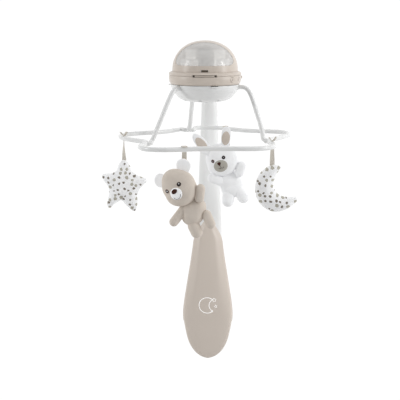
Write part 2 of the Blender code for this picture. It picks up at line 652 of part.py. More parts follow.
# ================================================================== LEGS AND TOY RING
# where each leg's foot carries the ring: name, root angle, foot point, direction of the tube there, profile (r, z)
FOOT_HALF = 5.0
FEET = [
    ("leg_front_left", 221.5, (-103.0, -77.5), (-0.12, -0.993),
     [(47, -4.6), (62, -4.6), (69.5, -6.2), (77.0, -13.5), (88.0, -34), (100.0, -60), (109.0, -79.5), (112.8, -88.5), (117.0, -94.8)]),
    ("leg_front_right", 347.0, (112.0, -43.0), (0.03, 1.0),
     [(47, -4.6), (66, -4.6), (74.0, -6.2), (81.2, -13.5), (86.8, -25), (95.4, -48), (105.2, -74), (108.4, -86.0)]),
    ("leg_rear", 105.5, (-30.5, 130.0), (-1.0, 0.0),
     [(47, -4.6), (64, -4.6), (71.5, -6.2), (78, -13.5), (86, -33), (95.5, -58), (103, -79.5), (108, -88.5), (115, -94.6)]),
]
for name, a0, foot, run, prof in FEET:
    a1 = (atan2(foot[1], foot[0]) * 180 / pi) % 360
    pts = []
    for r, z in prof:
        s = max(0.0, min(1.0, (-5.0 - z) / 90.0)) * (0.0 if name == "leg_rear" else 1.0)
        pts.append(polar(r, a0 + (a1 - a0) * s, z))
    end = Vector((foot[0], foot[1], RING_Z))
    run = Vector((run[0], run[1], 0.0)).normalized()
    square = Vector((run.y, -run.x, 0.0))            # the foot meets the ring at a right angle
    if square.dot(end) > 0:
        square = -square
    way = smooth_path(pts + [end + square * 9.0 + Vector((0, 0, 0.8))], 2) + [end]
    leg = sweep(way, LEG_R, LEG_R * 0.92, n=10)
    socket = rod(end - run * FOOT_HALF, end + run * FOOT_HALF, RING_R + 0.7, n=12)
    add(name, combine(leg, [socket], "UNION"), "white", parent="carousel_axis")


def foot_end(k, side):
    """Start or end of a ring piece: the socket's face plus the clearance, then a straight lead."""
    f, t = FEET[k][2], Vector(FEET[k][3]).normalized()
    near, far = FOOT_HALF + GAP, FOOT_HALF + 3.4
    pts = [(f[0] + side * t.x * d, f[1] + side * t.y * d) for d in (near, far)]
    return pts if side > 0 else pts[::-1]


RING = {
    "ring_lobe_left": foot_end(2, 1) + [(-47, 139), (-58, 123), (-68, 108), (-85, 93), (-104, 82), (-122, 74), (-139, 63), (-151, 47),
                                        (-155, 28), (-152, 9), (-144, -8), (-132, -23), (-119, -36), (-107, -50), (-102.5, -61)] + foot_end(0, -1),
    "ring_lobe_front": foot_end(0, 1) + [(-108.5, -102), (-110, -119), (-103, -137), (-88, -148), (-66, -151.5), (-40, -147), (-12, -140), (16, -137.5),
                                         (46, -138.5), (72, -140), (94, -135), (110, -122), (117.5, -104), (117.5, -84), (114, -65)] + foot_end(1, -1),
    "ring_lobe_right": foot_end(1, 1) + [(120, -17), (131, 0), (143, 20), (153, 42), (156.5, 64), (151, 85), (138, 98), (117, 105.5), (97, 110.5),
                                         (78, 118), (62, 130), (48, 146), (30, 160), (6, 168), (-13, 165), (-20, 153), (-19.5, 140)] + foot_end(2, -1),
}
for name, pts in RING.items():
    way = [Vector((x, y, RING_Z)) for x, y in pts]
    path = way[:1] + smooth_path(way[1:-1], 2) + way[-1:]
    add(name, sweep(path, RING_R, RING_R, n=8), "white", parent="carousel_axis")

# ================================================================== RIBBONS, ANCHORS AND TOYS
# name, ring point, direction of the bar (deg), half width of strap across, bottom of the ribbon
HANG = {
    "star": ((-146.6, -3.0), 118.0, -134.6),
    "bear": ((-35.0, -145.8), 15.0, -111.0),
    "moon": ((116.2, -77.0), 100.0, -131.5),
    "bunny": ((46.0, 148.0), 138.0, -122.0),
}
RIBBON_TOP = RING_Z - RING_R - 0.6
for toy, ((px, py), bar, low) in HANG.items():
    pivot = Vector((px, py, RIBBON_TOP))
    frame(toy + "_axis", pivot, parent="carousel_axis")
    turn = Matrix.Rotation(radians(bar), 3, "Z")
    b = block(-RIBBON_W / 2, RIBBON_W / 2, -RIBBON_T / 2, RIBBON_T / 2, low, RIBBON_TOP)
    bmesh.ops.rotate(b, verts=b.verts, cent=(0, 0, 0), matrix=turn)
    bmesh.ops.translate(b, verts=b.verts, vec=(px, py, 0))
    add(toy + "_ribbon", b, "ribbon", parent=toy + "_axis", at=pivot)
    # the ribbon's two tails stand in a V on top of the tube
    z0 = RING_Z + RING_R + GAP
    prof = [(-6.2, z0 + 5.6), (-5.2, z0 + 6.6), (0.0, z0 + 1.8), (5.2, z0 + 6.6), (6.2, z0 + 5.6), (1.2, z0), (-1.2, z0)]
    b = loft([[Vector((x, y, z)) for y, z in prof] for x in (-RIBBON_W / 2, RIBBON_W / 2)])
    bmesh.ops.rotate(b, verts=b.verts, cent=(0, 0, 0), matrix=turn)
    bmesh.ops.translate(b, verts=b.verts, vec=(px, py, 0))
    add(toy + "_ribbon_tails", b, "ribbon", parent="carousel_axis", smooth=False)


def pillow(outline, yc, half, inset=0.62):
    cx = sum(p[0] for p in outline) / len(outline)
    cz = sum(p[1] for p in outline) / len(outline)
    rings = []
    for dy, s in ((-half, inset), (-half * 0.45, 0.97), (half * 0.45, 0.97), (half, inset)):
        rings.append([Vector((cx + (x - cx) * s, yc + dy, cz + (z - cz) * s)) for x, z in outline])
    return loft(rings)


STAR = [(-145.1, -135.5), (-158.9, -154.3), (-188.0, -163.2), (-174.7, -186.8), (-178.1, -224.8), (-152.6, -214.4), (-129.8, -232.2), (-123.4, -195.7), (-105.2, -174.0), (-129.3, -162.2)]
add("star_toy", pillow(STAR, -3.0, 12.5), "spotted", parent="star_axis", at=Vector((-146.6, -3.0, RIBBON_TOP)))

MOON_Y = -77.0
outer_arc = [(128.8, -134.6), (117.5, -133.5), (102.8, -141.0), (92.0, -153.8), (86.6, -171.4), (89.1, -191.0), (98.9, -206.7), (113.6, -216.0), (128.3, -217.5), (144.0, -212.1), (153.8, -203.8), (160.2, -195.4)]
inner_arc = [(143.0, -193.5), (130.2, -187.6), (121.9, -177.3), (119.5, -164.6), (121.9, -151.8), (127.8, -141.0)]
rings = []
outline = outer_arc + inner_arc
n_out = len(outer_arc)
for dy, s in ((-11.5, 0.45), (-6.0, 0.93), (6.0, 0.93), (11.5, 0.45)):
    ring = []
    for i, (x, z) in enumerate(outline):
        # the crescent's own spine, so the inset shrinks towards it and not past it
        f = i / (n_out - 1) if i < n_out else 1 - (i - n_out + 1) / (len(inner_arc) + 1)
        f = min(1.0, max(0.0, f))
        a = radians(78 + 245 * f)
        sx, sz = 120.0 + 25.5 * cos(a), -175.3 + 28.4 * sin(a)
        ring.append(Vector((sx + (x - sx) * s, MOON_Y + dy, sz + (z - sz) * s)))
    rings.append(ring)
add("moon_toy", loft(rings), "spotted", parent="moon_axis", at=Vector((116.2, -77.0, RIBBON_TOP)))

# bear: head with ears and muzzle, body with limbs
by = -146.0
head = combine(ball((-45, by, -162), (29, 24, 31), 33, 16, 10),
               [ball((-37.5, by, -125.5), (10, 6, 10), 33, 10, 6), ball((-74, by, -149), (10, 6, 10), 33, 10, 6), ball((-50, by - 20, -171), (12, 9, 11), 33, 10, 6)], "UNION")
add("bear_head", head, "velour", parent="bear_axis", at=Vector((-35.0, -145.8, RIBBON_TOP)))
body = combine(ball((-20, by + 4, -208), (20, 17, 27), 28, 14, 8),
               [ball((-51, by + 1, -213), (8.5, 8.5, 15), -35, 10, 6), ball((-8.5, by - 2, -176), (8.5, 8.5, 18), 2, 10, 6),
                ball((-17, by - 1, -233), (11, 11, 15), -10, 10, 6), ball((5, by - 1, -216), (10.5, 11, 16), -20, 10, 6)], "UNION")
body = combine(body, [ball((-45, by, -162), (29.6, 24.6, 31.6), 33, 16, 10)], "DIFFERENCE")
add("bear_body", body, "velour", parent="bear_axis", at=Vector((-35.0, -145.8, RIBBON_TOP)))

# bunny: head with an upright ear and a dropped ear, body with limbs
ry = 147.0
head = combine(ball((37, ry, -161), (31, 26, 33), 22, 16, 10),
               [ball((42.5, ry - 18.0, -119), (10.5, 5.5, 27), 0, 12, 8), ball((-2, ry - 9, -127), (11, 5, 27), 47, 12, 8), ball((32, ry - 22, -171), (13, 9, 11), 22, 10, 6)], "UNION")
add("bunny_head", head, "plush", parent="bunny_axis", at=Vector((46.0, 148.0, RIBBON_TOP)))
body = combine(ball((53, ry + 2, -211), (20, 17, 25), 18, 14, 8),
               [ball((27, ry - 3, -201.5), (18, 9.5, 9), 14, 12, 6), ball((72, ry - 1, -183), (11, 9, 15), -38, 10, 6),
                ball((48.5, ry - 2, -241), (12, 12, 15), 0, 10, 6), ball((76, ry - 2, -231), (11, 11, 16), -28, 10, 6)], "UNION")
body = combine(body, [ball((37, ry, -161), (31.6, 26.6, 33.6), 22, 16, 10)], "DIFFERENCE")
add("bunny_body", body, "plush", parent="bunny_axis", at=Vector((46.0, 148.0, RIBBON_TOP)))
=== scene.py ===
import random
from math import acos, asin, atan2, cos, hypot, pi, radians, sin, sqrt, tan

import bmesh
import bpy
import numpy as np
from mathutils import Matrix, Vector
from mathutils.bvhtree import BVHTree


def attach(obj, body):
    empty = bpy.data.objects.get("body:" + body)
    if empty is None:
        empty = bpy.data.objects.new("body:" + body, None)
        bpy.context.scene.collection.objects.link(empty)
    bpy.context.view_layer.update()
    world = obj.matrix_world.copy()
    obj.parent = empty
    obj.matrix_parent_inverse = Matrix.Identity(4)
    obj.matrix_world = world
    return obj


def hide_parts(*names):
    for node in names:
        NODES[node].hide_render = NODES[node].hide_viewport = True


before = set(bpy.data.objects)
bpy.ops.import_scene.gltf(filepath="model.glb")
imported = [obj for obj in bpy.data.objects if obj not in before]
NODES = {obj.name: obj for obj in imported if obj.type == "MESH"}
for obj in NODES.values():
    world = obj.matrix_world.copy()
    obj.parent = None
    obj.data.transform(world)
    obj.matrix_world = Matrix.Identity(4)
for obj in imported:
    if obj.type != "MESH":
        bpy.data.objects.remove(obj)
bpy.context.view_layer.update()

# ------------------------------------------------------------------ frames of reference
# Fixed pieces are written in millimetres with the carousel's axis at X = Y = 0 and the seam
# between head and bowl at Z = 0. Pieces on the carousel are written before its rest turn.
REST_TURN = radians(2.6)
CT, ST = cos(REST_TURN), sin(REST_TURN)


def W(p):
    """fixed working millimetres to the row frame in metres"""
    return Vector((p[0], p[1] - 184.0, p[2] + 336.0)) * 0.001


def C(p):
    """carousel working millimetres to the row frame in metres"""
    return W((p[0] * CT - p[1] * ST, p[0] * ST + p[1] * CT, p[2]))


COL = bpy.context.scene.collection


# ------------------------------------------------------------------ materials
class Nodes:
    """small helper that builds a node tree by calls"""

    def __init__(self, name):
        self.mat = bpy.data.materials.new(name)
        self.mat.use_nodes = True
        self.t = self.mat.node_tree
        self.b = self.t.nodes["Principled BSDF"]
        self.out = self.t.nodes["Material Output"]

    def n(self, kind, **kw):
        node = self.t.nodes.new(kind)
        for k, v in kw.items():
            if k in node.inputs:
                node.inputs[k].default_value = v
            else:
                setattr(node, k, v)
        return node

    def l(self, a, b):
        self.t.links.new(a, b)

    def math(self, op, a, b=None, c=None, clamp=False):
        m = self.n("ShaderNodeMath", operation=op, use_clamp=clamp)
        for i, v in enumerate((a, b, c)):
            if v is None:
                continue
            if isinstance(v, (int, float)):
                m.inputs[i].default_value = v
            else:
                self.l(v, m.inputs[i])
        return m.outputs[0]

    def mix(self, f, a, b, blend="MIX"):
        m = self.n("ShaderNodeMix", data_type="RGBA", blend_type=blend)
        for sock, v in ((m.inputs[0], f), (m.inputs[6], a), (m.inputs[7], b)):
            if isinstance(v, (int, float)):
                sock.default_value = v
            elif isinstance(v, tuple):
                sock.default_value = (*v, 1) if len(v) == 3 else v
            else:
                self.l(v, sock)
        return m.outputs[2]

    def noise(self, scale, detail=2.0, rough=0.5, coords=None, w=None):
        t = self.n("ShaderNodeTexNoise")
        t.inputs["Scale"].default_value = scale
        t.inputs["Detail"].default_value = detail
        t.inputs["Roughness"].default_value = rough
        self.l(coords or self.coords(), t.inputs["Vector"])
        return t

    def coords(self):
        if not hasattr(self, "_c"):
            self._c = self.n("ShaderNodeTexCoord").outputs["Object"]
        return self._c

    def ramp(self, f, stops, mode="LINEAR"):
        r = self.n("ShaderNodeValToRGB")
        r.color_ramp.interpolation = mode
        el = r.color_ramp.elements
        while len(el) < len(stops):
            el.new(0.5)
        for e, (p, c) in zip(el, stops):
            e.position = p
            e.color = (*c, 1) if len(c) == 3 else c
        self.l(f, r.inputs[0])
        return r.outputs[0]

    def bump(self, height, strength, distance):
        b = self.n("ShaderNodeBump")
        b.inputs["Strength"].default_value = strength
        b.inputs["Distance"].default_value = distance
        self.l(height, b.inputs["Height"])
        self.l(b.outputs[0], self.b.inputs["Normal"])
        return b

    def base(self, v):
        if isinstance(v, tuple):
            self.b.inputs["Base Color"].default_value = (*v, 1)
        else:
            self.l(v, self.b.inputs["Base Color"])


def shade(c, k):
    return tuple(min(1.0, x * k) for x in c)


def plastic(name, color, rough, grain=0.25, coat=0.0, spread=0.05):
    """moulded plastic: faint flow mottling, fine spark-eroded grain, uneven gloss"""
    m = Nodes(name)
    big = m.noise(9.0, 3.0, 0.5)
    m.base(m.mix(big.outputs[0], shade(color, 1 - spread), shade(color, 1 + spread)))
    gloss = m.noise(60.0, 3.0, 0.6)
    m.l(m.math("MULTIPLY_ADD", gloss.outputs[0], 0.10, rough - 0.05), m.b.inputs["Roughness"])
    fine = m.noise(2600.0, 2.0, 0.5)
    m.bump(fine.outputs[0], grain, 0.00006)
    m.b.inputs["Coat Weight"].default_value = coat
    m.b.inputs["Coat Roughness"].default_value = 0.15
    m.b.inputs["Subsurface Weight"].default_value = 0.0
    return m.mat


def velour(name, color, dark=0.93, light=1.06, pile=1.0, sheen=0.5, tint=None, painted_glow=0.0):
    """short-pile knit: soft directional mottling, tiny tufts, sheen at grazing angles"""
    m = Nodes(name)
    brush = m.noise(70.0, 4.0, 0.6)
    tuft = m.noise(900.0, 3.0, 0.65)
    knit = m.n("ShaderNodeTexVoronoi", feature="F1")
    knit.inputs["Scale"].default_value = 1100.0
    m.l(m.coords(), knit.inputs["Vector"])
    f = m.math("MULTIPLY_ADD", brush.outputs[0], 0.65, m.math("MULTIPLY", tuft.outputs[0], 0.35), clamp=True)
    m.base(m.ramp(f, [(0.30, shade(color, dark)), (0.52, color), (0.72, shade(color, light))]))
    h = m.math("ADD", m.math("MULTIPLY", tuft.outputs[0], 0.8), m.math("MULTIPLY", knit.outputs["Distance"], -0.5))
    m.bump(h, 0.55 * pile, 0.0006)
    m.b.inputs["Roughness"].default_value = 0.95
    m.b.inputs["Sheen Weight"].default_value = sheen
    m.b.inputs["Sheen Roughness"].default_value = 0.45
    m.b.inputs["Sheen Tint"].default_value = (*(tint or shade(color, 1.15)), 1)
    m.b.inputs["Specular IOR Level"].default_value = 0.15
    m.b.inputs["Emission Color"].default_value = (*color, 1)       # painted glow: the pile's own colour is emitted, standing in for light that soaks through pale pile
    m.b.inputs["Emission Strength"].default_value = painted_glow
    return m.mat


BEIGE = (0.665, 0.590, 0.520)
WHITE = (0.85, 0.855, 0.852)
M_BEIGE = plastic("moulded_beige", BEIGE, 0.32, 0.3, spread=0.02)
M_BEIGE_SOFT = plastic("moulded_beige_soft", (0.66, 0.587, 0.52), 0.34, 0.4, spread=0.02)
# painted light: the paddle's beige is a lighter copy of the moulded beige, brightening the paddle
M_BEIGE_PADDLE = plastic("moulded_beige_paddle", (0.70, 0.622, 0.551), 0.33, 0.3, spread=0.02)
M_WHITE = plastic("moulded_white", WHITE, 0.26, 0.15, coat=0.2, spread=0.012)
M_WHITE_SATIN = plastic("moulded_white_satin", (0.86, 0.865, 0.86), 0.34, 0.3, spread=0.012)
M_DARK = plastic("moulded_dark", (0.045, 0.036, 0.03), 0.4, 0.4)
M_TAUPE = plastic("moulded_taupe", (0.20, 0.165, 0.135), 0.45, 0.4)
M_SENSOR = plastic("sensor_pane_dark", (0.10, 0.078, 0.055), 0.3, 0.2)
M_GREY = plastic("moulded_grey", (0.50, 0.50, 0.49), 0.5, 0.4)
M_PALE_GREY = plastic("moulded_pale_grey", (0.86, 0.86, 0.85), 0.5, 0.4)
M_RUBBER = plastic("soft_grip_rubber", (0.30, 0.275, 0.25), 0.8, 1.0, spread=0.06)
M_REFLECT = plastic("lamp_reflector", (0.84, 0.84, 0.83), 0.75, 0.2, spread=0.02)
M_TOWER = plastic("lamp_tower_grey", (0.55, 0.55, 0.54), 0.5, 0.3, spread=0.02)
for _m, _e in ((M_REFLECT, 0.38), (M_TOWER, 0.20)):      # painted glow: emission on these inner parts stands in for the light that the clear dome round them lets in
    _m.node_tree.nodes["Principled BSDF"].inputs["Emission Color"].default_value = (1.0, 0.995, 0.985, 1)
    _m.node_tree.nodes["Principled BSDF"].inputs["Emission Strength"].default_value = _e
M_PRINT = plastic("white_print", (0.95, 0.95, 0.94), 0.5, 0.2, spread=0.01)
# painted glow: the white print gets a faint emission so it reads bright
M_PRINT.node_tree.nodes["Principled BSDF"].inputs["Emission Color"].default_value = (1, 1, 1, 1)
M_PRINT.node_tree.nodes["Principled BSDF"].inputs["Emission Strength"].default_value = 0.42


def make_window():
    """tinted clear plastic: half see-through, soft gloss"""
    m = Nodes("smoke_window")
    haze = m.noise(30.0, 2.0, 0.5)
    m.base(m.mix(haze.outputs[0], (0.89, 0.885, 0.875), (0.93, 0.925, 0.915)))
    m.b.inputs["Roughness"].default_value = 0.16
    m.b.inputs["Coat Weight"].default_value = 0.5
    m.b.inputs["Coat Roughness"].default_value = 0.06
    clear = m.n("ShaderNodeBsdfTransparent")
    clear.inputs[0].default_value = (0.93, 0.925, 0.92, 1)
    lw = m.n("ShaderNodeLayerWeight")
    lw.inputs[0].default_value = 0.35
    f = m.math("MULTIPLY_ADD", lw.outputs["Facing"], 0.48, 0.30, clamp=True)
    mix = m.n("ShaderNodeMixShader")
    m.l(f, mix.inputs[0])
    m.l(clear.outputs[0], mix.inputs[1])
    m.l(m.b.outputs[0], mix.inputs[2])
    m.l(mix.outputs[0], m.out.inputs["Surface"])
    return m.mat


M_WINDOW = make_window()


def make_metal():
    m = Nodes("zinc_plate")
    stretch = m.n("ShaderNodeMapping")
    stretch.inputs["Scale"].default_value = (1, 12, 1)
    m.l(m.coords(), stretch.inputs["Vector"])
    n = m.noise(300.0, 3.0, 0.6, coords=stretch.outputs[0])
    m.base(m.mix(n.outputs[0], (0.50, 0.50, 0.50), (0.68, 0.68, 0.67)))
    m.l(m.math("MULTIPLY_ADD", n.outputs[0], 0.2, 0.22), m.b.inputs["Roughness"])
    m.b.inputs["Metallic"].default_value = 1.0
    m.bump(n.outputs[0], 0.2, 0.0001)
    return m.mat


M_METAL = make_metal()

M_VELOUR = velour("velour_beige", (0.68, 0.61, 0.54), tint=(0.8, 0.75, 0.7), sheen=0.3, painted_glow=0.03)
M_VELOUR_TAN = velour("velour_tan", (0.47, 0.45, 0.40), tint=(0.6, 0.57, 0.52), sheen=0.3)
M_VELOUR_EAR = velour("velour_ear", (0.66, 0.585, 0.515), tint=(0.7, 0.62, 0.56), sheen=0.3)
M_PLUSH = velour("plush_white", (0.92, 0.925, 0.935), dark=0.955, light=1.035, tint=(0.95, 0.95, 0.97), painted_glow=0.06)
# the muzzle copy carries a stronger painted glow; it is also used on the bear's ear fronts
M_PLUSH_MUZZLE = velour("plush_white_muzzle", (0.92, 0.925, 0.935), dark=0.96, light=1.03, pile=0.8, tint=(1, 1, 1), painted_glow=0.14)


def make_spotted():
    """white short-pile print: rounded blobs in two taupes, scattered, each a little uneven"""
    m = Nodes("spotted_plush")
    c = m.coords()
    sep = m.n("ShaderNodeSeparateXYZ")
    m.l(c, sep.inputs[0])
    comb = m.n("ShaderNodeCombineXYZ")
    m.l(sep.outputs["X"], comb.inputs[0])
    m.l(sep.outputs["Z"], comb.inputs[1])
    wob = m.noise(260.0, 2.0, 0.5)
    off = m.n("ShaderNodeVectorMath", operation="MULTIPLY_ADD")
    m.l(wob.outputs["Color"], off.inputs[0])
    off.inputs[1].default_value = (0.0042, 0.0042, 0.0)
    m.l(comb.outputs[0], off.inputs[2])
    v = m.n("ShaderNodeTexVoronoi", feature="F1", voronoi_dimensions="2D")
    v.inputs["Scale"].default_value = 103.0
    v.inputs["Randomness"].default_value = 0.78
    m.l(off.outputs[0], v.inputs["Vector"])
    rnd = m.n("ShaderNodeSeparateColor")
    m.l(v.outputs["Color"], rnd.inputs[0])
    tone = m.math("GREATER_THAN", rnd.outputs[0], 0.47)
    size = m.math("ADD", m.math("MULTIPLY_ADD", tone, 0.085, 0.175), m.math("MULTIPLY", rnd.outputs[1], 0.085))
    edge = m.math("SUBTRACT", size, v.outputs["Distance"])
    mask = m.math("MULTIPLY_ADD", edge, 28.0, 0.5, clamp=True)
    blob = m.mix(tone, (0.235, 0.20, 0.16), (0.50, 0.475, 0.405))
    brush = m.noise(90.0, 3.0, 0.6)
    tuft = m.noise(900.0, 3.0, 0.65)
    ground = m.ramp(brush.outputs[0], [(0.3, (0.90, 0.905, 0.915)), (0.7, (0.955, 0.96, 0.965))])
    soft = m.math("MULTIPLY", mask, m.math("MULTIPLY_ADD", tuft.outputs[0], 0.35, 0.80, clamp=True), clamp=True)
    m.base(m.mix(soft, ground, blob))
    m.bump(tuft.outputs[0], 0.45, 0.0005)
    m.b.inputs["Roughness"].default_value = 0.95
    m.b.inputs["Sheen Weight"].default_value = 0.35
    m.b.inputs["Sheen Roughness"].default_value = 0.5
    m.b.inputs["Specular IOR Level"].default_value = 0.15
    # painted glow: the white ground between the spots gets a faint emission, the spots none
    m.l(m.mix(soft, (0.93, 0.935, 0.95), (0.0, 0.0, 0.0)), m.b.inputs["Emission Color"])
    m.b.inputs["Emission Strength"].default_value = 0.08
    return m.mat


M_SPOT = make_spotted()


def make_ribbon():
    """grosgrain: cross ribs, with a lighter and darker weave mixed along them"""
    m = Nodes("grosgrain_ribbon")
    w = m.n("ShaderNodeTexWave", wave_type="BANDS", bands_direction="Z")
    w.inputs["Scale"].default_value = 380.0
    w.inputs["Distortion"].default_value = 0.6
    m.l(m.coords(), w.inputs["Vector"])
    n = m.noise(700.0, 2.0, 0.5)
    m.base(m.mix(m.math("MULTIPLY_ADD", w.outputs["Fac"], 0.5, m.math("MULTIPLY", n.outputs[0], 0.4)), (0.58, 0.53, 0.46), (0.76, 0.72, 0.65)))
    m.bump(w.outputs["Fac"], 0.5, 0.0003)
    m.b.inputs["Roughness"].default_value = 0.8
    m.b.inputs["Sheen Weight"].default_value = 0.3
    return m.mat


M_RIBBON = make_ribbon()


def make_gloss(name, color, rough=0.3):
    m = Nodes(name)
    n = m.noise(900.0, 2.0, 0.5)
    m.base(m.mix(n.outputs[0], shade(color, 0.8), shade(color, 1.25)))
    m.b.inputs["Roughness"].default_value = rough
    m.b.inputs["Coat Weight"].default_value = 0.0
    m.b.inputs["Specular IOR Level"].default_value = 0.35
    return m.mat


M_EYE = make_gloss("eye_dark", (0.022, 0.014, 0.013))
# painted light: a lighter brown copy of the dark eye thread, used on the left eyes' rings so they look lit
M_IRIS_PAINTED_LIGHT = velour("eye_thread_painted_light", (0.17, 0.085, 0.08), pile=0.3, sheen=0.0)
M_IRIS = velour("eye_thread", (0.035, 0.022, 0.02), pile=0.3, sheen=0.0, tint=(0.2, 0.15, 0.14))
M_GLINT = make_gloss("eye_glint", (0.80, 0.80, 0.80), 0.3)
M_NOSE = velour("nose_thread", (0.065, 0.028, 0.021), pile=0.7, sheen=0.25, tint=(0.2, 0.12, 0.1))
M_STITCH = velour("mouth_thread", (0.06, 0.045, 0.045), pile=0.5, sheen=0.1, tint=(0.1, 0.1, 0.1))


# ------------------------------------------------------------------ mesh helpers
def obj_from(bm, name, to, mat, smooth=True, angle=38, weld=1e-4):
    """bmesh in working millimetres to an object in metres; 'to' is W or C"""
    if weld:
        bmesh.ops.remove_doubles(bm, verts=bm.verts, dist=weld)
    bmesh.ops.recalc_face_normals(bm, faces=bm.faces)
    for v in bm.verts:
        v.co = to(v.co)
    me = bpy.data.meshes.new(name)
    bm.to_mesh(me)
    bm.free()
    ob = bpy.data.objects.new(name, me)
    COL.objects.link(ob)
    for x in (mat if isinstance(mat, (list, tuple)) else [mat]):
        me.materials.append(x)
    if smooth:
        me.shade_smooth()
        if angle:
            me.set_sharp_from_angle(angle=radians(angle))
    return ob


def place(ob, body, nodes=()):
    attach(ob, body)
    if nodes:
        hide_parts(*nodes)
    return ob


def loft(rings, bm=None, cap=True):
    bm = bm or bmesh.new()
    rows = [[bm.verts.new(p) for p in r] for r in rings]
    n = len(rows[0])
    for a, b in zip(rows, rows[1:]):
        for i in range(n):
            j = (i + 1) % n
            bm.faces.new((a[i], a[j], b[j], b[i]))
    if cap:
        bm.faces.new(rows[0][::-1])
        bm.faces.new(rows[-1])
    return bm


def lathe(profile, n=128, bm=None, centre=(0, 0)):
    """closed turned body from a profile that may touch the axis"""
    bm = bm or bmesh.new()
    rows = []
    for r, z in profile:
        if r < 1e-6:
            rows.append([bm.verts.new((centre[0], centre[1], z))])
        else:
            rows.append([bm.verts.new((centre[0] + r * cos(2 * pi * i / n), centre[1] + r * sin(2 * pi * i / n), z)) for i in range(n)])
    for a, b in zip(rows, rows[1:] + rows[:1]):
        if len(a) == 1 and len(b) == 1:
            continue
        for i in range(n):
            j = (i + 1) % n
            if len(a) == 1:
                bm.faces.new((a[0], b[j], b[i]))
            elif len(b) == 1:
                bm.faces.new((a[i], a[j], b[0]))
            else:
                bm.faces.new((a[i], a[j], b[j], b[i]))
    return bm


def polar(r, deg, z=0.0):
    a = radians(deg)
    return Vector((r * cos(a), r * sin(a), z))


def smooth_path(pts, step=8):
    pts = [Vector(p) for p in pts]
    full = [pts[0] * 2 - pts[1]] + pts + [pts[-1] * 2 - pts[-2]]
    out = []
    for i in range(1, len(full) - 2):
        a, b, c, d = full[i - 1:i + 3]
        for k in range(step):
            t = k / step
            out.append(0.5 * ((2 * b) + (c - a) * t + (2 * a - 5 * b + 4 * c - d) * t * t + (3 * b - a - 3 * c + d) * t ** 3))
    out.append(pts[-1])
    return out


def relax(path, times):
    """evens a route out without moving its ends"""
    for _ in range(times):
        path = [path[0]] + [(path[i - 1] + path[i] * 2 + path[i + 1]) / 4 for i in range(1, len(path) - 1)] + [path[-1]]
    return path


def sweep(path, rx, rz, n=20, bm=None, up=Vector((0, 0, 1)), power=2.0):
    rings = []
    m = len(path)
    for i, p in enumerate(path):
        t = (path[min(i + 1, m - 1)] - path[max(i - 1, 0)]).normalized()
        side = t.cross(up)
        side = side.normalized() if side.length > 1e-6 else Vector((1, 0, 0))
        top = side.cross(t).normalized()
        a = rx[i] if isinstance(rx, (list, tuple)) else rx
        b = rz[i] if isinstance(rz, (list, tuple)) else rz
        ring = []
        for k in range(n):
            c, s = cos(2 * pi * k / n), sin(2 * pi * k / n)
            ring.append(p + side * (a * abs(c) ** (2 / power) * (1 if c > 0 else -1)) + top * (b * abs(s) ** (2 / power) * (1 if s > 0 else -1)))
        rings.append(ring)
    return loft(rings, bm)


def sector(a0, a1, levels, r_in, n=8, bm=None):
    rings = []
    for k in range(n + 1):
        a = radians(a0 + (a1 - a0) * k / n)
        ring = [Vector((r_in * cos(a), r_in * sin(a), levels[0][0]))]
        ring += [Vector((r * cos(a), r * sin(a), z)) for z, r in levels]
        ring += [Vector((r_in * cos(a), r_in * sin(a), levels[-1][0]))]
        rings.append(ring)
    return loft(rings, bm)


def rod(p0, p1, r, n=24, r1=None, bm=None):
    p0, p1 = Vector(p0), Vector(p1)
    d = (p1 - p0).normalized()
    u = d.orthogonal().normalized()
    w = d.cross(u)
    r1 = r if r1 is None else r1
    return loft([[p0 + (u * cos(2 * pi * i / n) + w * sin(2 * pi * i / n)) * r for i in range(n)],
                 [p1 + (u * cos(2 * pi * i / n) + w * sin(2 * pi * i / n)) * r1 for i in range(n)]], bm)


def combine(base, others, how="DIFFERENCE"):
    def temp(b):
        bmesh.ops.remove_doubles(b, verts=b.verts, dist=1e-4)
        bmesh.ops.recalc_face_normals(b, faces=b.faces)
        me = bpy.data.meshes.new("helper")
        b.to_mesh(me)
        b.free()
        o = bpy.data.objects.new("helper", me)
        COL.objects.link(o)
        return o

    ob = temp(base)
    for other in others:
        tool = temp(other)
        mod = ob.modifiers.new("cut", "BOOLEAN")
        mod.operation, mod.solver, mod.object = how, "EXACT", tool
        bpy.context.view_layer.update()
        me = bpy.data.meshes.new_from_object(ob.evaluated_get(bpy.context.evaluated_depsgraph_get()))
        ob.modifiers.clear()
        ob.data = me
        bpy.data.objects.remove(tool, do_unlink=True)
    bm = bmesh.new()
    bm.from_mesh(ob.data)
    bpy.data.objects.remove(ob, do_unlink=True)
    bmesh.ops.remove_doubles(bm, verts=bm.verts, dist=1e-3)
    return bm


def apply_all(ob):
    bpy.context.view_layer.update()
    me = bpy.data.meshes.new_from_object(ob.evaluated_get(bpy.context.evaluated_depsgraph_get()))
    mats = [m for m in ob.data.materials]
    ob.modifiers.clear()
    ob.data = me
    if not len(me.materials):
        for m in mats:
            me.materials.append(m)
    return ob


def remesh(ob, voxel):
    m = ob.modifiers.new("voxel", "REMESH")
    m.mode, m.voxel_size, m.use_smooth_shade = "VOXEL", voxel, True
    apply_all(ob)
    return ob


def soften(ob, times, factor=0.5):
    m = ob.modifiers.new("soften", "SMOOTH")
    m.factor, m.iterations = factor, times
    return apply_all(ob)


def bevel_obj(ob, width, segments=3, angle=35):
    m = ob.modifiers.new("edges", "BEVEL")
    m.width, m.segments, m.limit_method, m.angle_limit = width, segments, "ANGLE", radians(angle)
    m.harden_normals = False
    apply_all(ob)
    ob.data.shade_smooth()
    return ob


def co_of(ob):
    a = np.zeros(len(ob.data.vertices) * 3)
    ob.data.vertices.foreach_get("co", a)
    return a.reshape(-1, 3)


def set_co(ob, a):
    ob.data.vertices.foreach_set("co", a.astype(np.float32).ravel())
    ob.data.update()


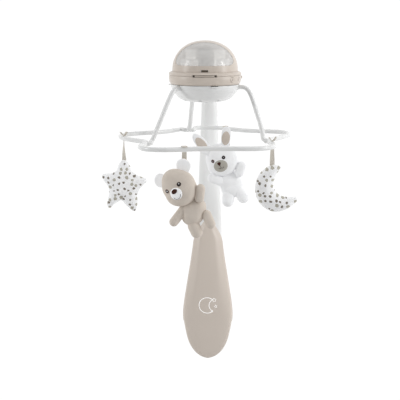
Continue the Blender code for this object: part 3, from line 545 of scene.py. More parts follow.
def puff(ob, pressure=4.0, cap=0.005, frames=20, shrink=0.0, stiff=15.0):
    """stuffs a closed cloth body and keeps the resulting pulls and wrinkles"""
    before = co_of(ob)
    sc = bpy.context.scene
    m = ob.modifiers.new("cloth", "CLOTH")
    s = m.settings
    s.quality = 5
    s.mass = 0.15
    s.tension_stiffness = s.compression_stiffness = stiff
    s.shear_stiffness = 5
    s.bending_stiffness = 0.25
    s.use_pressure = True
    s.uniform_pressure_force = pressure
    s.effector_weights.gravity = 0
    s.shrink_min = shrink
    m.collision_settings.use_self_collision = False
    m.point_cache.frame_start, m.point_cache.frame_end = 1, frames
    for f in range(1, frames + 1):
        sc.frame_set(f)
    me = bpy.data.meshes.new_from_object(ob.evaluated_get(bpy.context.evaluated_depsgraph_get()))
    after = np.zeros(len(me.vertices) * 3)
    me.vertices.foreach_get("co", after)
    after = after.reshape(-1, 3)
    ob.modifiers.clear()
    sc.frame_set(1)
    d = after - before
    far = np.linalg.norm(d, axis=1, keepdims=True)
    d = d * np.minimum(1.0, cap / np.maximum(far, 1e-9))
    set_co(ob, before + d)
    return ob


def subdivide(ob, levels=1):
    m = ob.modifiers.new("sub", "SUBSURF")
    m.levels = m.render_levels = levels
    apply_all(ob)
    ob.data.shade_smooth()
    return ob


# ================================================================== PROJECTOR HEAD
SPLIT, SHOULDER = 16.2, 22.6
HOUSING = [(0.3, 60.6), (0.6, 61.3), (1.4, 62.1), (2.8, 62.9), (4.8, 63.6), (7.5, 64.15), (10.0, 64.45), (12.5, 64.55), (14.6, 64.4), (15.6, 64.2), (16.08, 63.8)]
UPPER = [(16.3, 63.8), (16.7, 64.25), (17.5, 64.6), (18.4, 64.7), (19.3, 64.5), (20.2, 64.0), (21.1, 63.1), (21.8, 62.0), (22.3, 60.8), (22.6, 59.3)]
TRACK_A, TRACK_H, TRACK_Z = -88.5, 19.2, (14.9, 18.9)
BATTERY_A = 155.0
BUTTONS = [("music_button", "music_key", -40.4, 10.0, 4.4), ("volume_button", "volume_key", -21.4, 10.2, 3.4), ("light_button", "light_key", 1.6, 12.2, 2.6)]


def cut_sector(a, half, z0, z1, r=70.0, r_in=57.0, n=12):
    return sector(a - half, a + half, [(z0, r), (z1, r)], r_in, n=n)


lower = [(0, 0.3)] + [(r, z) for z, r in HOUSING] + [(62.6, 16.1), (62.6, 13.5), (61.4, 8.0), (59.6, 3.0), (59.0, 2.6), (0, 2.6)]
cuts = [cut_sector(TRACK_A, TRACK_H, *TRACK_Z), cut_sector(BATTERY_A, 21.5, 3.4, 15.2), rod((0, 0, -2), (0, 0, 5), 3.4)]
for _, _b, a, z, r in BUTTONS:
    cuts.append(rod(polar(56, a, z), polar(70, a, z), r + 0.35))
ob = obj_from(combine(lathe(lower, 144), cuts), "head_lower_shell", W, M_BEIGE)
place(bevel_obj(ob, 0.00035, 2), "frame", ["lower_housing"])

upper = [(r, z) for z, r in UPPER] + [(59.2, SHOULDER - 0.1), (59.0, SHOULDER - 2.4), (61.6, SHOULDER - 3.6), (62.6, 16.3)]
ob = obj_from(combine(lathe(upper, 144), [cut_sector(TRACK_A, TRACK_H, *TRACK_Z)]), "head_upper_shell", W, M_BEIGE)
place(bevel_obj(ob, 0.0003, 2), "frame", ["upper_housing"])

DOME_R, DOME_TOP = 58.5, 76.8
WIN_Y, WIN_Z = -20.5, 34.3


def dome_profile(grow, z0, m=22):
    pts = [(DOME_R + grow, z0)]
    for k in range(m + 1):
        t = (pi / 2) * k / m
        c, s = max(cos(t), 0) ** (2 / 2.15), sin(t) ** (2 / 2.15)
        pts.append(((DOME_R + grow) * (c if k < m else 0.0), 24.0 + (DOME_TOP - 24.0 + grow) * s))
    return pts


def window_prism(grow=0.0, m=10):
    r = 16.0
    y1, z0 = WIN_Y + grow, WIN_Z - grow
    prof = [(-90.0, z0)]
    for k in range(m + 1):
        t = (pi / 2) * k / m
        prof.append((y1 - r + r * sin(t), z0 + r - r * cos(t)))
    prof += [(y1, 95.0), (-90.0, 95.0)]
    return loft([[Vector((x, y, z)) for y, z in prof] for x in (-80.0, 80.0)])


bm = combine(lathe(dome_profile(0, SHOULDER - 2) + dome_profile(-2.2, SHOULDER - 2)[::-1], 144),
             [window_prism(), cut_sector(TRACK_A, 6.4, 23.5, 27.3, 66.0, 52.0, 5)])
ob = obj_from(bm, "dome_hood", W, M_BEIGE, angle=30)
place(bevel_obj(ob, 0.00055, 3, 30), "frame", ["dome_cover"])
bm = combine(lathe(dome_profile(-0.35, WIN_Z - 8) + dome_profile(-2.1, WIN_Z - 8)[::-1], 144), [window_prism(-0.25)], "INTERSECT")
place(obj_from(bm, "dome_window_pane", W, M_WINDOW, angle=30), "frame", ["dome_window"])


def box_obj(name, x0, x1, y0, y1, z0, z1, mat, body, r=0.8, nodes=(), to=W, spin=0.0):
    bm = bmesh.new()
    vs = [bm.verts.new((x, y, z)) for x in (x0, x1) for y in (y0, y1) for z in (z0, z1)]
    for q in ((0, 1, 3, 2), (4, 6, 7, 5), (0, 4, 5, 1), (2, 3, 7, 6), (0, 2, 6, 4), (1, 5, 7, 3)):
        bm.faces.new([vs[i] for i in q])
    if spin:
        bmesh.ops.rotate(bm, verts=bm.verts, cent=(0, 0, 0), matrix=Matrix.Rotation(spin, 3, "Z"))
    ob = obj_from(bm, name, to, mat, smooth=False)
    bevel_obj(ob, r * 0.001, 3)
    return place(ob, body, nodes)


# what shows through the window: a lamp tower, its collar and two pale reflector blocks
place(obj_from(lathe([(0, 21.2), (21, 21.2), (21, 27), (17.5, 28), (16.6, 29.5), (16.2, 56), (15.2, 59), (13, 60), (0, 60)], 64), "lamp_tower", W, M_TOWER), "frame", ["lamp_housing"])
place(obj_from(lathe([(0, 61.6), (11, 61.6), (11, 63.2), (9.6, 65.0), (7.0, 66.6), (4.0, 67.5), (0, 67.8)], 64), "lamp_lens", W, M_WINDOW), "frame", ["projection_lens"])
box_obj("reflector_left", -43, -12, -16, 10, 27.5, 44, M_REFLECT, "frame", 2.0)
box_obj("reflector_right", 20, 44, -16, 10, 27.5, 45, M_REFLECT, "frame", 2.0)
box_obj("reflector_back", -36, 36, 14, 20, 27.5, 60, M_REFLECT, "frame", 2.0)
box_obj("lamp_deck", -46, 46, -30, 26, 24.6, 26.6, M_REFLECT, "frame", 0.6)

# focus slider: ribbed thumb bar that rides in the front slot, with a dark taupe sector behind it as painted shade in
# the slot
bm = sector(TRACK_A - 15.6, TRACK_A + 15.6, [(15.5, 63.5), (15.7, 63.95), (18.1, 63.95), (18.3, 63.5)], 60.5, n=30)
ob = obj_from(bm, "focus_thumb_bar", W, M_BEIGE)
place(bevel_obj(ob, 0.0003, 2), "slider", ["focus_slider"])
bm = bmesh.new()
for k in range(13):
    a = TRACK_A - 12.6 + 2.1 * k
    p = [polar(63.4, a, 15.9), polar(64.5, a, 16.3), polar(64.5, a, 17.5), polar(63.4, a, 17.9)]
    d = polar(0.32, a + 90)
    loft([[q - d for q in p], [q + d for q in p]], bm)
place(obj_from(bm, "focus_ribs", W, M_BEIGE_SOFT, smooth=False), "slider", ())
# dark taupe sector filling the slot behind the bar: painted shade
place(obj_from(sector(TRACK_A - 18.9, TRACK_A + 18.9, [(15.1, 60.2), (18.7, 60.2)], 58.6, n=20), "focus_slot_painted_shade", W, M_TAUPE), "frame", ())
place(obj_from(sector(TRACK_A - 5.9, TRACK_A + 5.9, [(23.6, 57.3), (27.1, 57.3)], 55.2, n=6), "sensor_pane", W, M_SENSOR), "frame", ["sensor_window"])

# push buttons: domed caps with a small raised mark each
for name, body, a, z, r in BUTTONS:
    rr = 63.8 if name != "light_button" else 64.1
    tip = rr + (1.9 if name == "light_button" else 0.85)
    axis_u, axis_v, out = polar(1, a + 90), Vector((0, 0, 1)), polar(1, a)
    rings = []
    for d, q in ((57.5, r), (tip - 1.0, r), (tip - 0.5, r - 0.12), (tip - 0.18, r - 0.45), (tip, r - 1.0), (tip + 0.08, r * 0.4)):
        rings.append([out * d + Vector((0, 0, z)) + (axis_u * cos(2 * pi * i / 40) + axis_v * sin(2 * pi * i / 40)) * q for i in range(40)])
    place(obj_from(loft(rings), name + "_cap", W, M_BEIGE_SOFT), body, [name])
    bm = bmesh.new()
    base = out * (tip + 0.12) + Vector((0, 0, z))

    def mark(pts, w=0.22):
        route = [base + axis_u * x + axis_v * y for x, y in pts]
        sweep(route, w, w, n=8, bm=bm, up=out)

    if name == "music_button":
        mark([(-0.2, -1.1), (-0.2, 1.6)])
        mark([(-0.2, 1.6), (0.9, 1.2), (1.3, 0.4)])
        mark([(-0.95, -1.35), (-0.25, -1.05)], 0.55)
    elif name == "volume_button":
        mark([(-1.2, 0), (1.2, 0)])
        mark([(0, -1.2), (0, 1.2)])
    else:
        mark([(0.9 * cos(t * pi / 8), 0.9 * sin(t * pi / 8)) for t in range(-3, 12)], 0.18)
    place(obj_from(bm, name + "_mark", W, M_TAUPE), body, ())

# battery door with a finger notch and grip lines
levels = [(3.8, 62.9), (4.2, 63.3), (6.0, 63.85), (9.0, 64.35), (12.0, 64.55), (14.4, 64.4), (14.8, 64.0)]
ob = obj_from(sector(BATTERY_A - 21.1, BATTERY_A + 21.1, levels, 60.2, n=28), "battery_cover", W, M_BEIGE)
place(bevel_obj(ob, 0.0003, 2), "door", ["battery_door"])
bm = bmesh.new()
for k in range(5):
    z = 6.6 + 1.3 * k
    r = 64.0 + 0.16 * k - 0.02 * k * k
    route = [polar(r, BATTERY_A - 4 + 8 * i / 10, z) for i in range(11)]
    sweep(route, 0.3, 0.3, n=8, bm=bm)
place(obj_from(bm, "battery_grip_lines", W, M_BEIGE_SOFT), "door", ())
for n_, mat in (("drive_motor", M_METAL), ("speaker", M_DARK), ("main_board", M_TAUPE), ("star_film", M_DARK), ("spindle", M_METAL), ("spindle_clip", M_METAL),
                ("battery_cell_left", M_GREY), ("battery_cell_middle", M_GREY), ("battery_cell_right", M_GREY), ("hub_gear", M_WHITE_SATIN), ("motor_pinion", M_WHITE_SATIN)):
    NODES[n_].data.materials.clear()
    NODES[n_].data.materials.append(mat)

# ================================================================== BOWL
BOWL = [(60.9, -0.3), (61.2, -0.6), (61.15, -2.0), (60.8, -5.0), (60.2, -7.6), (59.95, -8.2), (59.3, -8.5), (59.0, -8.9), (58.6, -9.8), (57.4, -12.0), (55.4, -14.8), (53.6, -17.4), (51.6, -20.0),
        (49.0, -22.7), (45.8, -25.2), (41.6, -27.6), (36.0, -29.4), (29.5, -30.5), (22.0, -31.05), (12.0, -31.25), (0, -31.3)]
BOWL_IN = [(0, -28.8), (9.7, -28.8), (9.7, -16.0), (12.2, -16.0), (12.2, -28.6), (22.0, -28.4), (35.0, -26.8), (44.2, -23.2), (49.6, -18.6), (53.0, -13.6), (55.8, -9.6), (58.0, -5.0), (58.6, -0.3)]
LEG_ROOTS = (221.5, 347.0, 105.5)
TABS = [("release_tab_front", "tab_front", 285.5), ("release_tab_left", "tab_left", 165.0), ("release_tab_right", "tab_right", 45.0)]


def spun_box(x0, x1, y0, y1, z0, z1, deg):
    bm = bmesh.new()
    vs = [bm.verts.new((x, y, z)) for x in (x0, x1) for y in (y0, y1) for z in (z0, z1)]
    for q in ((0, 1, 3, 2), (4, 6, 7, 5), (0, 4, 5, 1), (2, 3, 7, 6), (0, 2, 6, 4), (1, 5, 7, 3)):
        bm.faces.new([vs[i] for i in q])
    bmesh.ops.rotate(bm, verts=bm.verts, cent=(0, 0, 0), matrix=Matrix.Rotation(radians(deg), 3, "Z"))
    return bm


cuts = [spun_box(50, 70, -4.7, 4.7, -9.0, 4, a) for a in LEG_ROOTS]
cuts += [spun_box(50, 70, -6.4, 6.4, -3.0, 4, a) for _, _b, a in TABS]
bm = combine(lathe(BOWL + BOWL_IN, 144), cuts)
for k in range(8):
    bm = combine(bm, [spun_box(38.5, 43.5, -2.8, 2.8, -40, -20, 22.5 + 45 * k + 10)])
ob = obj_from(bm, "bowl", C, M_WHITE)
place(bevel_obj(ob, 0.00025, 2), "carousel", ["bowl_shell"])
for a in LEG_ROOTS:      # moulded boss that closes each leg socket
    ob = obj_from(spun_box(50.0, 60.7, -4.9, 4.9, -9.15, -0.4, a), "leg_boss_%d" % a, C, M_WHITE, smooth=False)
    place(bevel_obj(ob, 0.0005, 3), "carousel", ())
bm = bmesh.new()
for k in range(8):      # grey sheet behind each slot: painted shade for the dim inside seen through the vents
    a = 32.5 + 45 * k
    tilt = [polar(38.0, a, -27.2), polar(44.0, a, -24.6)]
    d = polar(3.0, a + 90)
    loft([[tilt[0] - d, tilt[1] - d, tilt[1] - d + Vector((0, 0, 0.8)), tilt[0] - d + Vector((0, 0, 0.8))],
          [tilt[0] + d, tilt[1] + d, tilt[1] + d + Vector((0, 0, 0.8)), tilt[0] + d + Vector((0, 0, 0.8))]], bm)
place(obj_from(bm, "bowl_vent_painted_shade", C, M_GREY, smooth=False), "carousel", ())
for name, body, a in TABS:
    ob = obj_from(spun_box(49.0, 66.2, -6.0, 6.0, -2.7, -1.1, a), name + "_lever", C, M_WHITE_SATIN, smooth=False)
    place(bevel_obj(ob, 0.0005, 3), body, [name])

# ================================================================== LEGS AND TOY RING
RING_Z, RING_R, LEG_R, FOOT = -97.8, 4.1, 4.2, 5.0
FEET = [
    ("leg_front_left", 221.5, (-103.0, -77.5), (-0.12, -0.993),
     [(47, -4.6), (62, -4.6), (69.5, -6.2), (77.0, -13.5), (88.0, -34), (100.0, -60), (109.0, -79.5), (112.8, -88.5), (117.0, -94.8)]),
    ("leg_front_right", 347.0, (112.0, -43.0), (0.03, 1.0),
     [(47, -4.6), (66, -4.6), (74.0, -6.2), (81.2, -13.5), (86.8, -25), (95.4, -48), (105.2, -74), (108.4, -86.0)]),
    ("leg_rear", 105.5, (-30.5, 130.0), (-1.0, 0.0),
     [(47, -4.6), (64, -4.6), (71.5, -6.2), (78, -13.5), (86, -33), (95.5, -58), (103, -79.5), (108, -88.5), (115, -94.6)]),
]
for name, a0, foot, run, prof in FEET:
    a1 = degrees_foot = (atan2(foot[1], foot[0]) * 180 / pi) % 360
    pts = []
    for r, z in prof:
        s = max(0.0, min(1.0, (-5.0 - z) / 90.0)) * (0.0 if name == "leg_rear" else 1.0)
        pts.append(polar(r, a0 + (a1 - a0) * s, z))
    end = Vector((foot[0], foot[1], RING_Z))
    run = Vector((run[0], run[1], 0.0)).normalized()
    square = Vector((run.y, -run.x, 0.0))
    if square.dot(end) > 0:
        square = -square
    way = smooth_path(pts + [end + square * 9.0 + Vector((0, 0, 0.8))], 8) + [end]
    bm = sweep(relax(way, 4), LEG_R, LEG_R * 0.92, n=32, power=2.3)
    prof2 = [(-FOOT, RING_R + 0.05), (-FOOT + 0.5, RING_R + 0.3), (-FOOT + 1.8, RING_R + 0.55), (FOOT - 1.8, RING_R + 0.55), (FOOT - 0.5, RING_R + 0.3), (FOOT, RING_R + 0.05)]
    u, w = Vector((run.y, -run.x, 0)), Vector((0, 0, 1))
    rings = [[end + run * d + (u * cos(2 * pi * i / 32) + w * sin(2 * pi * i / 32)) * r for i in range(32)] for d, r in prof2]
    loft(rings, bm)
    throat = end + square * (RING_R + 0.2) + Vector((0, 0, 0.4))      # small fillet where the leg meets its collar
    loft([[throat + square * d + (run * cos(2 * pi * i / 32) + w * sin(2 * pi * i / 32) * 0.92) * r for i in range(32)] for d, r in ((-2.5, 5.2), (0.0, 4.9), (0.9, 4.55), (1.9, 4.35), (3.2, 4.15))], bm)
    ob = obj_from(bm, name + "_tube", C, M_WHITE, weld=0)
    place(ob, "carousel", [name])


def foot_end(k, side):
    f, t = FEET[k][2], Vector(FEET[k][3]).normalized()
    pts = [(f[0] + side * t.x * d, f[1] + side * t.y * d) for d in (FOOT + 0.3, FOOT + 3.4)]
    return pts if side > 0 else pts[::-1]


RING = {
    "ring_lobe_left": foot_end(2, 1) + [(-47, 139), (-58, 123), (-68, 108), (-85, 93), (-104, 82), (-122, 74), (-139, 63), (-151, 47),
                                        (-155, 28), (-152, 9), (-144, -8), (-132, -23), (-119, -36), (-107, -50), (-102.5, -61)] + foot_end(0, -1),
    "ring_lobe_front": foot_end(0, 1) + [(-108.5, -102), (-110, -119), (-103, -137), (-88, -148), (-66, -151.5), (-40, -147), (-12, -140), (16, -137.5),
                                         (46, -138.5), (72, -140), (94, -135), (110, -122), (117.5, -104), (117.5, -84), (114, -65)] + foot_end(1, -1),
    "ring_lobe_right": foot_end(1, 1) + [(120, -17), (131, 0), (143, 20), (153, 42), (156.5, 64), (151, 85), (138, 98), (117, 105.5), (97, 110.5),
                                         (78, 118), (62, 130), (48, 146), (30, 160), (6, 168), (-13, 165), (-20, 153), (-19.5, 140)] + foot_end(2, -1),
}
for name, pts in RING.items():
    way = [Vector((x, y, RING_Z)) for x, y in pts]
    path = way[:1] + relax(smooth_path(way[1:-1], 8), 6) + way[-1:]
    place(obj_from(sweep(path, RING_R, RING_R, n=24, power=2.25), name + "_tube", C, M_WHITE), "carousel", [name])

# ================================================================== CLAMP, MAST AND ARM
MAST_Y, MAST_D = 225.0, 16.0


def mast_half(z):
    return 16.0 + 0.038 * max(0.0, -55.0 - z)


def super_ring(n, a, b, power=2.15):
    pts = []
    for i in range(n):
        c, s = cos(2 * pi * i / n), sin(2 * pi * i / n)
        pts.append((a * abs(c) ** (2 / power) * (1 if c >= 0 else -1), b * abs(s) ** (2 / power) * (1 if s >= 0 else -1)))
    return pts


JAW_Z = -395.0
levels = [(-48.2, -0.4), (-48.8, 0)] + [(-60 - 40 * k, 0) for k in range(10)] + [(-450, 0), (-455, -0.3), (-459, -1.2), (-461.2, -2.6), (-462, -5.0)]
bm = loft([[Vector((x, MAST_Y + y, z)) for x, y in super_ring(64, mast_half(z) + g, MAST_D + g)] for z, g in levels])
bm = combine(bm, [rod((0, MAST_Y - 30, JAW_Z), (0, MAST_Y - 10, JAW_Z), 5.0, 40), rod((0, MAST_Y + 10, JAW_Z), (0, MAST_Y + 30, JAW_Z), 8.3, 40)])
place(obj_from(bm, "mast", W, M_WHITE_SATIN, angle=50), "frame", ["mast_tube"])

path, ax_, ad_ = [Vector((0, MAST_Y, -47.6)), Vector((0, MAST_Y, -47.0))], [15.6, 16.0], [15.6, 16.0]
for k in range(0, 33):
    t = (pi / 2) * k / 32
    path.append(Vector((0, 158.0 + (MAST_Y - 158.0) * cos(t), -28.0 + (12.6 + 28.0) * sin(t))))
    ax_.append(16.0 - 1.2 * k / 32)
    ad_.append(MAST_D + (9.4 - MAST_D) * (k / 32) ** 0.8)
for y in (140.0, 110.0, 85.0, 60.0):
    path.append(Vector((0, y, 12.6)))
    ax_.append(14.8)
    ad_.append(9.4)
rings = []
for i, p in enumerate(path):
    t = Vector((0, 0, 1)) if i < 3 else (path[min(i + 1, len(path) - 1)] - path[i - 1]).normalized()
    across = Vector((0, -t.z, t.y))
    rings.append([p + Vector((x, 0, 0)) + across * (-y) for x, y in super_ring(64, ax_[i], ad_[i])])
bm = combine(loft(rings), [lathe([(0, -20), (66.0, -20), (66.0, 60), (0, 60)], 144)])
place(obj_from(bm, "arm_bend", W, M_WHITE_SATIN, angle=50), "frame", ["arm"])

PADDLE = [(-284.3, 0.8), (-285.2, 4.2), (-287.5, 7.6), (-293.3, 12.0), (-301.1, 17.6), (-311.7, 23.5), (-322, 27.6), (-344.3, 30.8), (-365.2, 33.8), (-386, 37.2), (-407.1, 40.6),
          (-428.4, 44.0), (-449.7, 47.3), (-470.8, 49.7), (-484, 50.1), (-497, 48.7), (-513.3, 45.9), (-534.3, 41.0), (-550, 34.2), (-562, 25.6), (-569, 17.2), (-573, 9.0), (-574.4, 2.0)]
SPLIT_Y = 152.0


def paddle_w(z):
    pts = PADDLE
    z = max(min(z, pts[0][0]), pts[-1][0])
    for i in range(len(pts) - 1):
        if pts[i + 1][0] <= z <= pts[i][0]:
            p0 = pts[max(i - 1, 0)]
            p1, p2 = pts[i], pts[i + 1]
            p3 = pts[min(i + 2, len(pts) - 1)]
            t = (z - p1[0]) / (p2[0] - p1[0])
            m1 = (p2[1] - p0[1]) / (p2[0] - p0[0]) * (p2[0] - p1[0])
            m2 = (p3[1] - p1[1]) / (p3[0] - p1[0]) * (p2[0] - p1[0])
            return max(0.3, (2 * t ** 3 - 3 * t ** 2 + 1) * p1[1] + (t ** 3 - 2 * t ** 2 + t) * m1 + (-2 * t ** 3 + 3 * t ** 2) * p2[1] + (t ** 3 - t ** 2) * m2)
    return pts[-1][1]


def paddle_d(z):
    t = (-284.3 - z) / 290.2
    return 2.6 + 17.0 * max(0.0, sin(pi * min(1.0, max(0.0, t)) ** 0.85)) ** 0.55


def shoulder(u, f, z):
    """soft crease beside the flat middle of the paddle, fading out towards the round end"""
    line = 1.0 - 1.6 * (u - 0.52)
    h = min(1.0, max(0.0, 0.5 + 0.5 * (line - f) / 0.15))
    low = line + (f - line) * h - 0.15 * h * (1 - h)
    s = min(1.0, max(0.0, (z + 505.0) / 100.0))
    return f + (max(0.0, min(f, low)) - f) * s * s * (3 - 2 * s)


def paddle_y(x, z, out=0.0):
    w, d = paddle_w(z), paddle_d(z)
    f = max(0.0, 1 - (abs(x) / w) ** 2.3) ** (1 / 2.3)
    return SPLIT_Y - d * shoulder(abs(x) / w, f, z) - out


zs = [-284.3, -284.7, -285.6, -287.0, -289.0, -291.5, -295.0] + [-299 - 5.4 * k for k in range(49)] + [-562.5, -566, -569, -571.5, -573.2, -574.2, -574.4]
zs = sorted(set(zs), reverse=True)
rings = []
for z in zs:
    w, d = paddle_w(z), paddle_d(z)
    ring = []
    for i in range(73):
        t = pi * i / 72
        c, s = cos(t), sin(t)
        u = abs(c) ** (2 / 2.3)
        ring.append(Vector((w * u * (1 if c >= 0 else -1), SPLIT_Y - d * shoulder(u, abs(s) ** (2 / 2.3), z), z)))
    ring += [Vector((-w + 1.6, SPLIT_Y, z))] if w > 4 else [Vector((-w * 0.6, SPLIT_Y, z))]
    ring += [Vector((w - 1.6, SPLIT_Y, z))] if w > 4 else [Vector((w * 0.6, SPLIT_Y, z))]
    rings.append(ring)
ob = obj_from(loft(rings), "paddle_front", W, M_BEIGE_PADDLE, angle=50)
place(ob, "frame", ["paddle_front_shell"])
rings = []
for z in zs[3:-2]:
    w = paddle_w(z)
    wide = w + 0.9 if z > -495 else w - 1.4
    if -500 < z <= -495:
        wide = w - 0.2
    ring = [Vector((wide - 0.5, SPLIT_Y + 0.35, z)), Vector((wide, SPLIT_Y + 0.9, z)), Vector((wide, SPLIT_Y + 4.0, z))]
    for i in range(1, 24):
        t = pi * i / 24
        ring.append(Vector((wide * cos(t), SPLIT_Y + 0.3 + 10.2 - 3.0 * abs(cos(t)) ** 3, z)))
    ring += [Vector((-wide, SPLIT_Y + 4.0, z)), Vector((-wide, SPLIT_Y + 0.9, z)), Vector((-wide + 0.5, SPLIT_Y + 0.35, z))]
    rings.append(ring)
place(obj_from(loft(rings), "paddle_rear", W, M_BEIGE_PADDLE, angle=50), "frame", ["paddle_rear_shell"])

# generic line art on the paddle: a crescent moon with two small stars, thin raised print
bm = bmesh.new()


def inked(pts, closed=False, w=0.55, z0=-455.0, x0=1.0):
    route = []
    pts = list(pts) + ([pts[0]] if closed else [])
    for x, z in pts:
        route.append(Vector((x0 + x, paddle_y(x0 + x, z0 + z, -0.02), z0 + z)))
    sweep(route, w, 0.18, n=8, bm=bm, up=Vector((0, 1, 0)))


R_ART = 16.5
outer = [(R_ART * cos(radians(a)) - 1.5, R_ART * sin(radians(a)) - 1.0) for a in range(48, 313, 8)]
tip0, tip1 = outer[0], outer[-1]
mx, mz = (tip0[0] + tip1[0]) / 2, (tip0[1] + tip1[1]) / 2
inner = []
for k in range(0, 25):
    a = radians(122 + 116 * k / 24)
    inner.append((mx + 8.4 + 15.8 * cos(a), mz + 14.4 * sin(a)))
inner[0], inner[-1] = tip0, tip1
inked(outer)
inked(inner)
for cx, cz, r in ((12.5, 10.5, 4.6), (15.8, -3.0, 3.2), (8.2, -13.5, 2.3)):
    star = []
    for k in range(10):
        a = radians(90 + 36 * k + 8)
        q = r if k % 2 == 0 else r * 0.48
        star.append((cx + q * cos(a), cz + q * sin(a)))
    inked(star, True, 0.42)
place(obj_from(bm, "paddle_line_art", W, M_PRINT, weld=0), "frame", ())

for n_, mat, wdt in (("paddle_grip_pad", M_RUBBER, 0.5), ("jaw_pad", M_RUBBER, 0.5), ("jaw_plate", M_WHITE_SATIN, 0.3), ("rail_bridge", M_WHITE_SATIN, 0.3), ("clamp_bush", M_METAL, 0.3),
                     ("clamp_screw", M_METAL, 0.3), ("clamp_knob", M_WHITE_SATIN, 0.5), ("bridge_screw_left", M_METAL, 0.2), ("bridge_screw_right", M_METAL, 0.2)):
    NODES[n_].data.materials.clear()
    NODES[n_].data.materials.append(mat)

# ================================================================== STUFFED TOYS
CAM = Vector((-9.0, -1643.0, 110.5))      # viewing point in carousel millimetres; nothing below reads it


def ellipsoid(bm, c, r, m=None, n=28, k=18):
    """m is a 3x3 turn about the centre"""
    c = Vector(c)
    m = m or Matrix.Identity(3)
    top = bm.verts.new(c + m @ Vector((0, 0, r[2])))
    rows = []
    for j in range(1, k):
        f = pi * j / k
        rows.append([bm.verts.new(c + m @ Vector((r[0] * sin(f) * cos(2 * pi * i / n), r[1] * sin(f) * sin(2 * pi * i / n), r[2] * cos(f)))) for i in range(n)])
    low = bm.verts.new(c + m @ Vector((0, 0, -r[2])))
    for i in range(n):
        j = (i + 1) % n
        bm.faces.new((top, rows[0][i], rows[0][j]))
        bm.faces.new((low, rows[-1][j], rows[-1][i]))
        for a, b in zip(rows, rows[1:]):
            bm.faces.new((a[i], b[i], b[j], a[j]))


def limb(bm, p0, r0, p1, r1, flat=1.0, steps=7):
    """a stuffed limb as a run of overlapping rounds; flat squeezes it in Y"""
    p0, p1 = Vector(p0), Vector(p1)
    for i in range(steps):
        t = i / (steps - 1)
        r = r0 + (r1 - r0) * t
        ellipsoid(bm, p0.lerp(p1, t), (r, r * flat, r), n=20, k=12)


def stuffed(name, parts, mat, voxel=1.8, smooth=4, pressure=3.0, cap=2.0, seam=None, to=C):
    """union of rounds, remeshed, softened, stuffed as cloth, then one subdivision"""
    bm = bmesh.new()
    parts(bm)
    ob = obj_from(bm, name, to, mat, angle=None, weld=0)
    remesh(ob, voxel * 0.001)
    soften(ob, smooth)
    puff(ob, pressure, cap * 0.001)
    soften(ob, 1, 0.3)
    if seam:
        seam(ob)
    subdivide(ob, 1)
    return ob


def tree_of(ob):
    bm = bmesh.new()
    bm.from_mesh(ob.data)
    t = BVHTree.FromBMesh(bm)
    bm.free()
    return t


def local_frame(centre, roll, yaw, pitch=0.0):
    """turn of a head: yaw turns the face towards -X, roll leans its top towards -X"""
    m = Matrix.Rotation(radians(-roll), 3, "Y") @ Matrix.Rotation(radians(-yaw), 3, "Z") @ Matrix.Rotation(radians(pitch), 3, "X")
    c = Vector(centre)
    return (lambda p: c + m @ Vector(p)), m, c


def patch(name, tree, at, m, c, rx, rz, mat, thick=0.9, spin=0.0, rim=0.25, n=36, rows=7, squash=None, power=2.0, flat=False):
    """a sewn-on disc that follows the surface under it. 'at' is (x, z) in the head's own frame, seen from its front"""
    front = m @ Vector((0, 1, 0))
    bm = bmesh.new()
    ca, sa = cos(radians(spin)), sin(radians(spin))

    def hit(x, z):
        px, pz = at[0] + x * ca - z * sa, at[1] + x * sa + z * ca
        start = c + m @ Vector((px, -60.0, pz))
        s, e = C(start), C(start + front)
        loc, nor, _i, _d = tree.ray_cast(s, (e - s).normalized())
        return loc, nor

    grid = []
    for j in range(rows + 1):
        f = j / rows
        ring = []
        for i in range(n):
            a = 2 * pi * i / n
            cc, ss = cos(a), sin(a)
            x, z = rx * f * abs(cc) ** (2 / power) * (1 if cc >= 0 else -1), rz * f * abs(ss) ** (2 / power) * (1 if ss >= 0 else -1)
            if squash:
                x, z = squash(x, z)
            loc, nor = hit(x, z)
            if loc is None:
                loc, nor = hit(x * 0.9, z * 0.9)
            if loc is None:
                return None
            ring.append((loc, nor))
            if j == 0:
                break
        grid.append(ring)
    # smooth the normals over the disc so the patch has no creases
    mean = Vector((0, 0, 0))
    for ring in grid:
        for _l, nn in ring:
            mean += nn
    mean.normalize()
    top = []
    for j, ring in enumerate(grid):
        f = j / rows
        h = thick * (sqrt(max(0.0, 1 - f ** 4)) if not flat else min(1.0, (1 - f) * rows * 0.9)) + rim * (1 if j < rows else 0)
        top.append([bm.verts.new(l + (nn * 0.5 + mean * 0.5).normalized() * (h * 0.001)) for l, nn in ring])
    skirt = [bm.verts.new(l - (nn * 0.5 + mean * 0.5).normalized() * 0.0009) for l, nn in grid[-1]]
    rows_v = top + [skirt]
    for i in range(n):
        j = (i + 1) % n
        bm.faces.new((top[0][0], top[1][i], top[1][j]))
    for a, b in zip(rows_v[1:], rows_v[2:]):
        for i in range(n):
            j = (i + 1) % n
            bm.faces.new((a[i], b[i], b[j], a[j]))
    bm.faces.new(skirt)
    bmesh.ops.recalc_face_normals(bm, faces=bm.faces)
    me = bpy.data.meshes.new(name)
    bm.to_mesh(me)
    bm.free()
    ob = bpy.data.objects.new(name, me)
    COL.objects.link(ob)
    me.materials.append(mat)
    me.shade_smooth()
    me.set_sharp_from_angle(angle=radians(70))
    return ob


